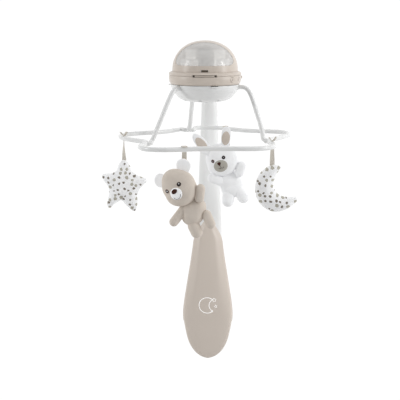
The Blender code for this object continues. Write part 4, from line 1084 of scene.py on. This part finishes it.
def stitch(name, trees, pts, m, c, mat, r=0.42, lift=0.15):
    """embroidered line through (x, z) points in the head's own frame, laid on the surface"""
    front = m @ Vector((0, 1, 0))
    route = []
    for p in smooth_path([Vector((x, 0, z)) for x, z in pts], 5):
        start = c + m @ Vector((p.x, -60.0, p.z))
        s, e = C(start), C(start + front)
        best = None
        for tree in trees:
            loc, nor, _i, d = tree.ray_cast(s, (e - s).normalized())
            if loc is not None and (best is None or d < best[2]):
                best = (loc, nor, d)
        if best:
            route.append((best[0] + best[1] * lift * 0.001) * 1000)
    if len(route) < 2:
        return None
    d = C(c + front) - C(c)
    bm = sweep(route, r, r * 0.6, n=10, up=-d)
    return obj_from(bm, name, lambda q: Vector(q) * 0.001, mat, weld=0)


def ear_piece(name, spine, widths, thick, mats, m, c, cup=0.0, front_dir=(0, -1, 0), inner=None):
    """an ear: lofted flat pouch along a spine in the head's frame; cup hollows its front"""
    rings = []
    f = Vector(front_dir)
    k = len(spine)
    for i, (p, w) in enumerate(zip(spine, widths)):
        p = Vector(p)
        t = (Vector(spine[min(i + 1, k - 1)]) - Vector(spine[max(i - 1, 0)])).normalized()
        side = t.cross(f).normalized()
        depth = side.cross(t).normalized()
        ring = []
        for q in range(28):
            a = 2 * pi * q / 28
            cc, ss = cos(a), sin(a)
            off = side * (w * cc) + depth * (min(thick, w * 0.8) * ss + cup * (1 - cc * cc) * -1.0)
            ring.append(c + m @ (p + off))
        rings.append(ring)
    ob = obj_from(loft(rings), name, C, mats, angle=None)
    return ob


def paint_front(ob, m, slot_front, limit=0.15, keep=None):
    """gives the faces that look forward in the head's frame another material slot"""
    d = (C(m @ Vector((0, -1, 0))) - C(Vector((0, 0, 0)))).normalized()
    for p in ob.data.polygons:
        if p.normal.dot(d) > limit and (keep is None or keep(p.center)):
            p.material_index = slot_front


RIBBON_TOP = RING_Z - RING_R - 0.6

# ------------------------------------------------------------------ star
STAR = [(-145.1, -135.5), (-158.9, -154.3), (-188.0, -163.2), (-174.7, -186.8), (-178.1, -224.8), (-152.6, -214.4), (-129.8, -232.2), (-123.4, -195.7), (-105.2, -174.0), (-129.3, -162.2)]
STAR_Y = -3.0


def rounded(pts, tip=0.16, notch=0.22, steps=5, first_tip=0):
    """outline with rounded tips (even points) and notches (odd points)"""
    out = []
    n = len(pts)
    for i in range(n):
        a, b, c = Vector(pts[i - 1]), Vector(pts[i]), Vector(pts[(i + 1) % n])
        f = tip if (i - first_tip) % 2 == 0 else notch
        p, q = b.lerp(a, f), b.lerp(c, f)
        for k in range(steps):
            t = k / (steps - 1)
            out.append(p * (1 - t) ** 2 + b * 2 * t * (1 - t) + q * t ** 2)
    return out


def even(pts, step):
    """resample a closed outline evenly"""
    pts = [Vector(p) for p in pts]
    seg = [(pts[(i + 1) % len(pts)] - pts[i]).length for i in range(len(pts))]
    total = sum(seg)
    n = int(total / step)
    out, i, acc = [], 0, 0.0
    for k in range(n):
        want = total * k / n
        while acc + seg[i] < want:
            acc += seg[i]
            i += 1
        out.append(pts[i].lerp(pts[(i + 1) % len(pts)], (want - acc) / seg[i]))
    return out


def chaikin(pts, times):
    """rounds a closed outline by cutting its corners"""
    pts = [Vector(p) for p in pts]
    for _ in range(times):
        out = []
        for i in range(len(pts)):
            p, q = pts[i], pts[(i + 1) % len(pts)]
            out += [p.lerp(q, 0.25), p.lerp(q, 0.75)]
        pts = out
    return pts


centre = Vector((-147.2, -184.6))
SOFT_STAR = [(-154.2, -136.6), (-140.6, -135.2), (-129.3, -161.0), (-106.6, -170.6), (-104.2, -174.2), (-106.4, -178.4), (-122.0, -196.6), (-121.8, -218.5), (-125.8, -232.6), (-131.2, -232.8),
             (-138.8, -226.4), (-145.8, -219.2), (-151.2, -213.0), (-154.2, -212.8), (-161.5, -216.4), (-169.0, -221.6), (-173.6, -227.0), (-179.2, -225.6), (-181.2, -218.4), (-175.6, -190.6), (-187.6, -171.8), (-190.2, -165.2), (-186.6, -161.6), (-163.2, -159.6)]
star_line = even([centre + (p - centre) * 1.012 for p in chaikin(SOFT_STAR, 3)], 1.6)


def star_parts(bm):
    rings = []
    for j in range(-9, 10):
        f = j / 9
        s = sqrt(max(0.0, 1 - abs(f) ** 2.4)) if abs(j) < 9 else 0.10
        s = max(s, 0.10)
        rings.append([Vector((centre.x + (p.x - centre.x) * s, STAR_Y + 12.5 * f, centre.y + (p.y - centre.y) * s)) for p in star_line])
    loft(rings, bm)


def seam_xz(y0, depth=0.0008, width=1.1):
    """pinches the sewn edge at the middle plane y0 (carousel mm), with small gathers along it"""
    def work(ob):
        ob.data.update()
        a = co_of(ob)
        nrm = np.zeros(len(ob.data.vertices) * 3)
        ob.data.vertices.foreach_get("normal", nrm)
        nrm = nrm.reshape(-1, 3)
        inv = np.array([[CT, ST], [-ST, CT]])
        xy = (a[:, :2] * 1000 + np.array([0.0, 184.0])) @ inv.T
        y = xy[:, 1] - y0
        x, z = xy[:, 0], a[:, 2] * 1000
        side = np.abs(nrm[:, 1]) < 0.75
        g = np.exp(-(y / width) ** 2) * side
        gather = 1 + 0.35 * np.sin(x * 1.9) * np.cos(z * 2.1)
        wide = np.exp(-(y / 5.0) ** 2) * side * 0.25 * np.maximum(0, np.sin(x * 0.75 + z * 0.9)) 
        set_co(ob, a - nrm * (g * gather + wide)[:, None] * depth)
    return work


ob = stuffed("star_toy_body", star_parts, M_SPOT, voxel=1.9, smooth=3, pressure=4.0, cap=2.5, seam=seam_xz(STAR_Y))
place(ob, "star", ["star_toy"])

# ------------------------------------------------------------------ moon
MOON_Y = -77.0
arc_out = [(128.8, -134.7), (117.5, -133.6), (102.8, -141.0), (92.0, -153.8), (86.6, -171.4), (89.1, -191.0), (98.9, -206.7), (113.6, -216.0), (128.3, -217.5), (144.0, -212.6), (154.4, -205.6), (161.2, -199.6)]
arc_in = [(132.6, -137.5), (128.4, -143.5), (122.8, -153.0), (120.2, -164.5), (121.4, -175.6), (127.2, -185.0), (135.4, -189.6), (144.0, -191.6), (153.0, -191.9), (160.4, -190.6)]


def along(pts, n):
    pts = [Vector(p) for p in smooth_path([Vector((x, 0, z)) for x, z in pts], 10)]
    seg = [(b - a).length for a, b in zip(pts, pts[1:])]
    total, out, i, acc = sum(seg), [], 0, 0.0
    for k in range(n):
        want = total * k / (n - 1)
        while i < len(seg) - 1 and acc + seg[i] < want:
            acc += seg[i]
            i += 1
        out.append(pts[i].lerp(pts[i + 1], min(1.0, (want - acc) / seg[i])))
    return out


def moon_parts(bm):
    n = 46
    o, q = along(arc_out, n), along(arc_in, n)
    rings = []
    for i in range(n):
        a, b = o[i], q[i]
        mid, half = (a + b) / 2, (a - b) / 2
        w = half.length * 1.02
        u = half.normalized()
        t = min(11.8, w * 0.92 + 1.2)
        rings.append([mid + u * (w * cos(2 * pi * k / 30)) + Vector((0, t * sin(2 * pi * k / 30), 0)) + Vector((0, MOON_Y, 0)) for k in range(30)])
    loft(rings, bm)


ob = stuffed("moon_toy_body", moon_parts, M_SPOT, voxel=1.8, smooth=3, pressure=4.0, cap=2.2, seam=seam_xz(MOON_Y))
place(ob, "moon", ["moon_toy"])

# ------------------------------------------------------------------ bear
BY = -146.0
at, m, c = local_frame((-44.0, BY, -161.5), 34.5, 19.0)


def bear_head(bm):
    ellipsoid(bm, at((0.9, 0, 1.8)), (29.3, 23.5, 28.7), m, 36, 24)
    ellipsoid(bm, at((0, -1.5, -8.0)), (29.0, 23.5, 24.5), m, 36, 24)      # full cheeks
    ellipsoid(bm, at((0, -1, 12.5)), (22.5, 19.5, 21.5), m, 36, 24)
    ellipsoid(bm, at((0, -15.5, -4.5)), (12.5, 10.0, 11.0), m, 24, 16)     # snout


head = stuffed("bear_head_body", bear_head, M_VELOUR, voxel=1.8, smooth=14, pressure=2.5, cap=1.2)
place(head, "bear", ["bear_head"])
tree = tree_of(head)
muzzle = patch("bear_muzzle", tree, (0.0, -3.4), m, c, 10.8, 10.3, M_PLUSH_MUZZLE, thick=1.0)
tree2 = tree_of(muzzle)
bits = [muzzle,
        patch("bear_nose", tree2, (0.2, 1.6), m, c, 5.6, 3.7, M_NOSE, thick=1.2, spin=3, rim=0.2, n=28, rows=5),
        stitch("bear_smile", [tree, tree2], [(-6.6, -6.4), (-5.9, -9.2), (-4.0, -11.2), (-0.6, -12.2), (3.0, -11.5), (5.6, -9.6), (6.7, -7.0)], m, c, M_STITCH)]
for side, x in (("left", -12.6), ("right", 12.8)):
    bits.append(patch("bear_eye_ring_" + side, tree, (x, 7.4), m, c, 3.6, 3.6, M_IRIS_PAINTED_LIGHT if side == "left" else M_IRIS, thick=0.5, rim=0.1, n=28, rows=4))
    t3 = tree_of(bits[-1])
    bits.append(patch("bear_pupil_" + side, t3, (x, 7.4), m, c, 2.8, 2.8, M_EYE, thick=0.9, rim=0.1, n=24, rows=4))
    t4 = tree_of(bits[-1])
    bits.append(patch("bear_glint_" + side, t4, (x + 1.0, 8.5 if side == "right" else 7.8), m, c, 0.85 if side == "right" else 1.25, 0.85 if side == "right" else 1.25, M_GLINT, thick=0.25, rim=0.05, n=16, rows=3))
for b in bits:
    if b:
        place(b, "bear", ())

for side, s, ox, oz in (("left", -1, 2.0, -2.8), ("right", 1, 2.1, -1.2)):
    spine = [(s * (17.8 + 0.84 * k) + ox, 5.0, 20.4 + 0.84 * k + oz) for k in (0, 2.5, 5, 8, 11, 13.5, 15.5, 17.0, 17.9, 18.3)]
    widths = [10.2, 11.4, 12.3, 12.9, 12.8, 11.8, 9.8, 7.2, 4.5, 1.6]
    ear = ear_piece("bear_ear_" + side, spine, widths, 3.4, [M_VELOUR, M_PLUSH_MUZZLE], m, c, cup=1.4)
    remesh(ear, 0.0011)
    soften(ear, 4)
    ear.data.materials.clear()
    ear.data.materials.append(M_VELOUR)
    ear.data.materials.append(M_PLUSH_MUZZLE)
    paint_front(ear, m, 1, -0.05)
    subdivide(ear, 1)
    place(ear, "bear", ())


def bear_body(bm):
    turn = Matrix.Rotation(radians(-29), 3, "Y")
    ellipsoid(bm, (-20.0, BY + 3, -198.5), (22.5, 17.5, 19.5), turn, 32, 22)
    ellipsoid(bm, (-21.0, BY + 2, -209.5), (19.6, 17.6, 17.5), turn, 32, 22)


body = stuffed("bear_trunk", bear_body, M_VELOUR, voxel=1.8, smooth=5, pressure=2.5, cap=1.2)
place(body, "bear", ["bear_body"])
for name, p0, r0, p1, r1 in (("bear_hanging_arm", (-31.2, BY + 1.4, -192.8), 8.5, (-52.8, BY - 5, -219.6), 8.0),
                             ("bear_lower_leg", (-19.5, BY - 3, -226.5), 10.6, (-14.6, BY - 6, -237.2), 10.2),
                             ("bear_upper_leg", (2.0, BY - 4, -207.5), 8.4, (8.9, BY - 8, -222.6), 8.4)):
    ob = stuffed(name, lambda bm, p0=p0, r0=r0, p1=p1, r1=r1: limb(bm, p0, r0, p1, r1, 1.0), M_VELOUR, voxel=1.6, smooth=3, pressure=2.0, cap=0.6)
    place(ob, "bear", ())


def bear_arm(bm):
    limb(bm, (-9.8, BY - 12, -177.6), 8.2, (-8.2, BY - 13, -161.4), 8.0, 0.92)


arm = stuffed("bear_raised_arm", bear_arm, M_VELOUR, voxel=1.6, smooth=4, pressure=2.0, cap=0.8)
place(arm, "bear", ())

# ------------------------------------------------------------------ bunny
RY = 147.0
at, m, c = local_frame((33.6, RY, -158.2), 22.0, 14.0)


def bunny_head(bm):
    ellipsoid(bm, at((0, 0, 1)), (32.0, 25.5, 31.0), m, 36, 24)
    ellipsoid(bm, at((0, -1, -8.0)), (32.4, 25.5, 25.5), m, 36, 24)
    ellipsoid(bm, at((0, -16.5, -9.0)), (13.5, 9.5, 11.5), m, 24, 16)


head = stuffed("bunny_head_body", bunny_head, M_PLUSH, voxel=1.9, smooth=14, pressure=2.5, cap=1.2)
place(head, "bunny", ["bunny_head"])
tree = tree_of(head)
muzzle = patch("bunny_muzzle", tree, (0.0, -8.6), m, c, 14.2, 12.0, M_VELOUR_TAN, thick=1.0)
tree2 = tree_of(muzzle)


def heart(x, z):
    return x * (0.72 + 0.42 * (z / 3.0)), z


bits = [muzzle,
        patch("bunny_nose", tree2, (-0.4, -3.6), m, c, 4.4, 3.7, M_NOSE, thick=1.1, rim=0.2, n=28, rows=5, squash=heart),
        stitch("bunny_lip_line", [tree, tree2], [(-0.2, -6.6), (0.0, -9.2), (0.3, -11.4)], m, c, M_STITCH, 0.4),
        stitch("bunny_smile", [tree, tree2], [(-4.4, -10.8), (-3.0, -12.6), (-0.9, -12.9), (0.6, -11.8), (2.2, -13.1), (4.4, -12.9), (5.9, -11.2)], m, c, M_STITCH, 0.4)]
for side, x in (("left", -11.6), ("right", 11.6)):
    bits.append(patch("bunny_eye_ring_" + side, tree, (x, 5.2), m, c, 3.4, 3.5, M_IRIS_PAINTED_LIGHT if side == "left" else M_IRIS, thick=0.5, rim=0.1, n=28, rows=4))
    t3 = tree_of(bits[-1])
    bits.append(patch("bunny_pupil_" + side, t3, (x, 5.2), m, c, 2.3, 2.4, M_EYE, thick=0.9, rim=0.1, n=24, rows=4))
    t4 = tree_of(bits[-1])
    bits.append(patch("bunny_glint_" + side, t4, (x + 0.7, 5.7), m, c, 0.62, 0.62, M_GLINT, thick=0.25, rim=0.05, n=16, rows=3))
for b in bits:
    if b:
        place(b, "bunny", ())

IDENT, ZERO = Matrix.Identity(3), Vector((0, 0, 0))
for side, spine, widths, lean, mid, size, spin in (
        ("upright", [(39.5, RY - 12, -138), (39.8, RY - 14, -132), (40.2, RY - 16, -126), (40.8, RY - 17.5, -120), (41.3, RY - 18.5, -114), (41.8, RY - 19, -108), (42.2, RY - 19, -102), (42.4, RY - 18.6, -97.5), (42.4, RY - 18, -94.2), (42.4, RY - 17.6, -92.2), (42.4, RY - 17.4, -91.0)],
         [6.5, 7.6, 8.7, 9.3, 9.6, 9.6, 9.2, 8.2, 6.4, 4.2, 1.6], (0, -1, 0), (41.2, -114.2), (13.7, 8.1), 85.0),
        ("dropped", [(20.3, RY - 4, -148.5), (15.0, RY - 6, -145.2), (9.5, RY - 8, -141.5), (5.0, RY - 9.2, -137.8), (0.75, RY - 10, -133.6), (-3.2, RY - 10.6, -129.2), (-7.05, RY - 11, -124.7), (-11.0, RY - 11, -120.2), (-14.9, RY - 11, -116.0), (-18.4, RY - 10.8, -111.8), (-20.8, RY - 10.6, -108.8), (-22.3, RY - 10.4, -106.9)],
         [7.5, 8.8, 9.8, 10.5, 10.9, 11.1, 11.0, 10.4, 9.3, 7.2, 4.8, 1.8], (0.1, -1, 0.1), (-6.0, -127.0), (16.2, 8.2), 131.5)):
    ear = ear_piece("bunny_ear_" + side, spine, widths, 3.2, M_PLUSH, IDENT, ZERO, cup=1.0, front_dir=lean)
    remesh(ear, 0.0011)
    soften(ear, 4)
    subdivide(ear, 1)
    place(ear, "bunny", ())
    lining = patch("bunny_ear_lining_" + side, tree_of(ear), mid, IDENT, ZERO, size[0], size[1], M_VELOUR_EAR, thick=0.35, spin=spin, rim=0.2, n=44, rows=8)
    if lining:
        place(lining, "bunny", ())


def bunny_body(bm):
    turn = Matrix.Rotation(radians(-18), 3, "Y")
    ellipsoid(bm, (52.0, RY + 2, -203.5), (24.0, 16.8, 22.0), turn, 32, 22)
    ellipsoid(bm, (55.5, RY + 2, -217.0), (23.0, 17.5, 19.0), turn, 32, 22)


body = stuffed("bunny_trunk", bunny_body, M_PLUSH, voxel=1.9, smooth=5, pressure=2.5, cap=1.2)
place(body, "bunny", ["bunny_body"])
for name, p0, r0, p1, r1 in (("bunny_left_arm", (35.0, RY - 1, -203.0), 10.4, (14.6, RY - 7, -195.4), 9.4),
                             ("bunny_left_leg", (48.0, RY - 2, -228.0), 12.3, (46.6, RY - 5, -241.8), 12.1),
                             ("bunny_right_leg", (66.5, RY - 2, -220.0), 11.2, (77.0, RY - 5, -234.6), 11.5)):
    ob = stuffed(name, lambda bm, p0=p0, r0=r0, p1=p1, r1=r1: limb(bm, p0, r0, p1, r1, 1.0), M_PLUSH, voxel=1.6, smooth=3, pressure=2.0, cap=0.6)
    place(ob, "bunny", ())


def bunny_arm(bm):
    limb(bm, (68.4, RY - 12, -183.4), 9.4, (72.6, RY - 13, -169.6), 9.5, 0.92)


arm = stuffed("bunny_raised_arm", bunny_arm, M_PLUSH, voxel=1.7, smooth=4, pressure=2.0, cap=0.8)
place(arm, "bunny", ())

# ------------------------------------------------------------------ ribbons
HANG = {
    "star": ((-146.6, -3.0), 118.0, -137.5, 100.0, 156.0),
    "bear": ((-35.0, -145.8), 15.0, -122.0, 15.0, 10.0),
    "moon": ((116.2, -77.0), 100.0, -137.0, 22.0, 6.0),
    "bunny": ((46.0, 148.0), 138.0, -134.0, 138.0, 160.0),
}
for toy, ((px, py), bar, low, face0, face1) in HANG.items():
    rows, thick, half = [], 0.45, 4.2
    steps = 22
    z_top = RIBBON_TOP - (0.3 if toy in ("star", "moon") else 0.0)
    for i in range(steps + 1):
        f = i / steps
        z = z_top + (low - z_top) * f
        a = radians(face0 + (face1 - face0) * f ** 1.4)
        u, v = Vector((cos(a), sin(a), 0)), Vector((-sin(a), cos(a), 0))
        cpt = Vector((px, py, z)) + v * (0.5 * sin(pi * f))
        k = half * {"star": 0.58 + 0.42 * min(1.0, f * 2.2), "moon": 0.74 + 0.26 * min(1.0, f * 1.5)}.get(toy, 0.93 + 0.07 * f)
        rows.append([cpt + u * -k + v * -thick, cpt + u * k * 0.0 + v * -thick * 1.15, cpt + u * k + v * -thick, cpt + u * k + v * thick, cpt + v * thick * 1.15, cpt + u * -k + v * thick])
    ob = obj_from(loft(rows), toy + "_hanging_ribbon", C, M_RIBBON, angle=50)
    place(ob, toy, [toy + "_ribbon"])
    # two cut ends that spread in a V on top of the tube
    a = radians(bar)
    u, v = Vector((cos(a), sin(a), 0)), Vector((-sin(a), cos(a), 0))
    z0 = RING_Z + RING_R + 0.35
    bm = bmesh.new()
    tail = 4.2
    if toy == "bunny":
        px, tail = px - 5.0, 2.8
    for s in (-1, 1):
        prof = [(0.25, 0.0), (1.4, 0.5), (2.8, 1.7), (4.2, 3.5), (5.4, 5.4), (6.2, 6.9)] if toy in ("star", "moon") else [(0.25, 0.0), (1.4, 0.2), (2.6, 0.3), (3.8, 0.2), (4.8, -0.2), (5.6, -0.9)]
        rows = []
        for i, (d, h) in enumerate(prof):
            b = prof[min(i + 1, 5)]
            e = prof[max(i - 1, 0)]
            t = Vector((b[0] - e[0], b[1] - e[1])).normalized()
            nx, nz = -t.y * 0.42, t.x * 0.42
            p = Vector((px, py, z0 + 0.45 + h)) + v * (s * d)
            o = v * (s * nx) + Vector((0, 0, nz))
            rows.append([p - u * tail - o, p - o, p + u * tail - o, p + u * tail + o, p + o, p - u * tail + o])
        loft(rows, bm)
    ob = obj_from(bm, toy + "_ribbon_ends", C, M_RIBBON, angle=60)
    place(ob, "carousel", [toy + "_ribbon_tails"])

# ================================================================== FLOOR, LIGHT, CAMERA
floor_mat = Nodes("pale_floor")      # pale near the object, running into the white of the backdrop behind it
fn = floor_mat.noise(1.5, 2.0, 0.5)
pale = floor_mat.mix(fn.outputs[0], (0.66, 0.66, 0.66), (0.70, 0.70, 0.70))
floor_mat.b.inputs["Roughness"].default_value = 0.9
floor_mat.b.inputs["Specular IOR Level"].default_value = 0.1
where = floor_mat.n("ShaderNodeSeparateXYZ")
floor_mat.l(floor_mat.coords(), where.inputs[0])
fade = floor_mat.n("ShaderNodeMapRange", interpolation_type="SMOOTHSTEP")
fade.inputs["From Min"].default_value, fade.inputs["From Max"].default_value = 0.10, 0.55
fade.inputs["To Min"].default_value, fade.inputs["To Max"].default_value = 0.0, 1.0
floor_mat.l(where.outputs["Y"], fade.inputs["Value"])
floor_mat.base(floor_mat.mix(fade.outputs[0], pale, (0.0, 0.0, 0.0)))
floor_mat.b.inputs["Emission Color"].default_value = (1, 1, 1, 1)
floor_mat.l(floor_mat.math("MULTIPLY", fade.outputs[0], 1.03), floor_mat.b.inputs["Emission Strength"])
bm = bmesh.new()
vs = [bm.verts.new((x * 9, y * 9, -0.62)) for x, y in ((-1, -1), (1, -1), (1, 1), (-1, 1))]
bm.faces.new(vs)
me = bpy.data.meshes.new("floor")
bm.to_mesh(me)
bm.free()
floor = bpy.data.objects.new("floor", me)
COL.objects.link(floor)
me.materials.append(floor_mat.mat)

world = bpy.data.worlds.new("studio") if not bpy.context.scene.world else bpy.context.scene.world
bpy.context.scene.world = world
world.use_nodes = True
t = world.node_tree
t.nodes.clear()
out = t.nodes.new("ShaderNodeOutputWorld")
bg = t.nodes.new("ShaderNodeBackground")
bg.inputs[0].default_value = (1.0, 1.0, 1.0, 1)
seen = t.nodes.new("ShaderNodeBackground")
seen.inputs[0].default_value = (1.0, 1.0, 1.0, 1)
seen.inputs[1].default_value = 1.05
tc = t.nodes.new("ShaderNodeTexCoord")
sep = t.nodes.new("ShaderNodeSeparateXYZ")
t.links.new(tc.outputs["Generated"], sep.inputs[0])
ma = t.nodes.new("ShaderNodeMapRange")      # dimmer on the camera's side, bright behind and above
ma.inputs["From Min"].default_value, ma.inputs["From Max"].default_value = -0.9, 0.55
ma.inputs["To Min"].default_value, ma.inputs["To Max"].default_value = 0.285, 0.99
t.links.new(sep.outputs["Y"], ma.inputs["Value"])
side = t.nodes.new("ShaderNodeMath")       # a little more from the right and from above
side.operation = "MULTIPLY_ADD"
side.inputs[1].default_value = 0.15
t.links.new(sep.outputs["X"], side.inputs[0])
t.links.new(ma.outputs[0], side.inputs[2])
above = t.nodes.new("ShaderNodeMath")
above.operation = "MULTIPLY_ADD"
above.inputs[1].default_value = 0.05
t.links.new(sep.outputs["Z"], above.inputs[0])
t.links.new(side.outputs[0], above.inputs[2])
t.links.new(above.outputs[0], bg.inputs[1])
lp = t.nodes.new("ShaderNodeLightPath")
mx_ = t.nodes.new("ShaderNodeMixShader")
t.links.new(lp.outputs["Is Camera Ray"], mx_.inputs[0])
t.links.new(bg.outputs[0], mx_.inputs[1])
t.links.new(seen.outputs[0], mx_.inputs[2])
t.links.new(mx_.outputs[0], out.inputs[0])


def area(name, loc, target, size, size_y, power):
    d = bpy.data.lights.new(name, "AREA")
    d.shape, d.size, d.size_y, d.energy = "RECTANGLE", size, size_y, power
    o = bpy.data.objects.new(name, d)
    COL.objects.link(o)
    o.location = loc
    o.rotation_euler = (Vector(target) - Vector(loc)).to_track_quat("-Z", "Y").to_euler()
    return o


area("strip_left", (-2.2, -1.0, 0.8), (0, -0.15, 0.1), 0.45, 1.7, 16.5)
area("strip_right", (2.25, -0.95, 0.8), (0, -0.15, 0.1), 0.5, 1.7, 20.5)
area("top_soft", (0.25, -0.5, 1.7), (0, -0.15, 0.2), 1.4, 1.4, 1.0)

cam = bpy.data.cameras.new("camera")
cam.sensor_fit, cam.sensor_width, cam.lens = "HORIZONTAL", 36.0, 82.15
cam.clip_start, cam.clip_end = 0.05, 60.0
co = bpy.data.objects.new("camera", cam)
COL.objects.link(co)
co.location = W((65.5, -1641.7, 110.5))
co.rotation_euler = (radians(90 - 11.1), 0, REST_TURN)
bpy.context.scene.camera = co
vs_ = bpy.context.scene.view_settings
vs_.view_transform, vs_.look, vs_.exposure, vs_.gamma = "Standard", "None", 0.0, 1.0

bpy.context.view_layer.update()
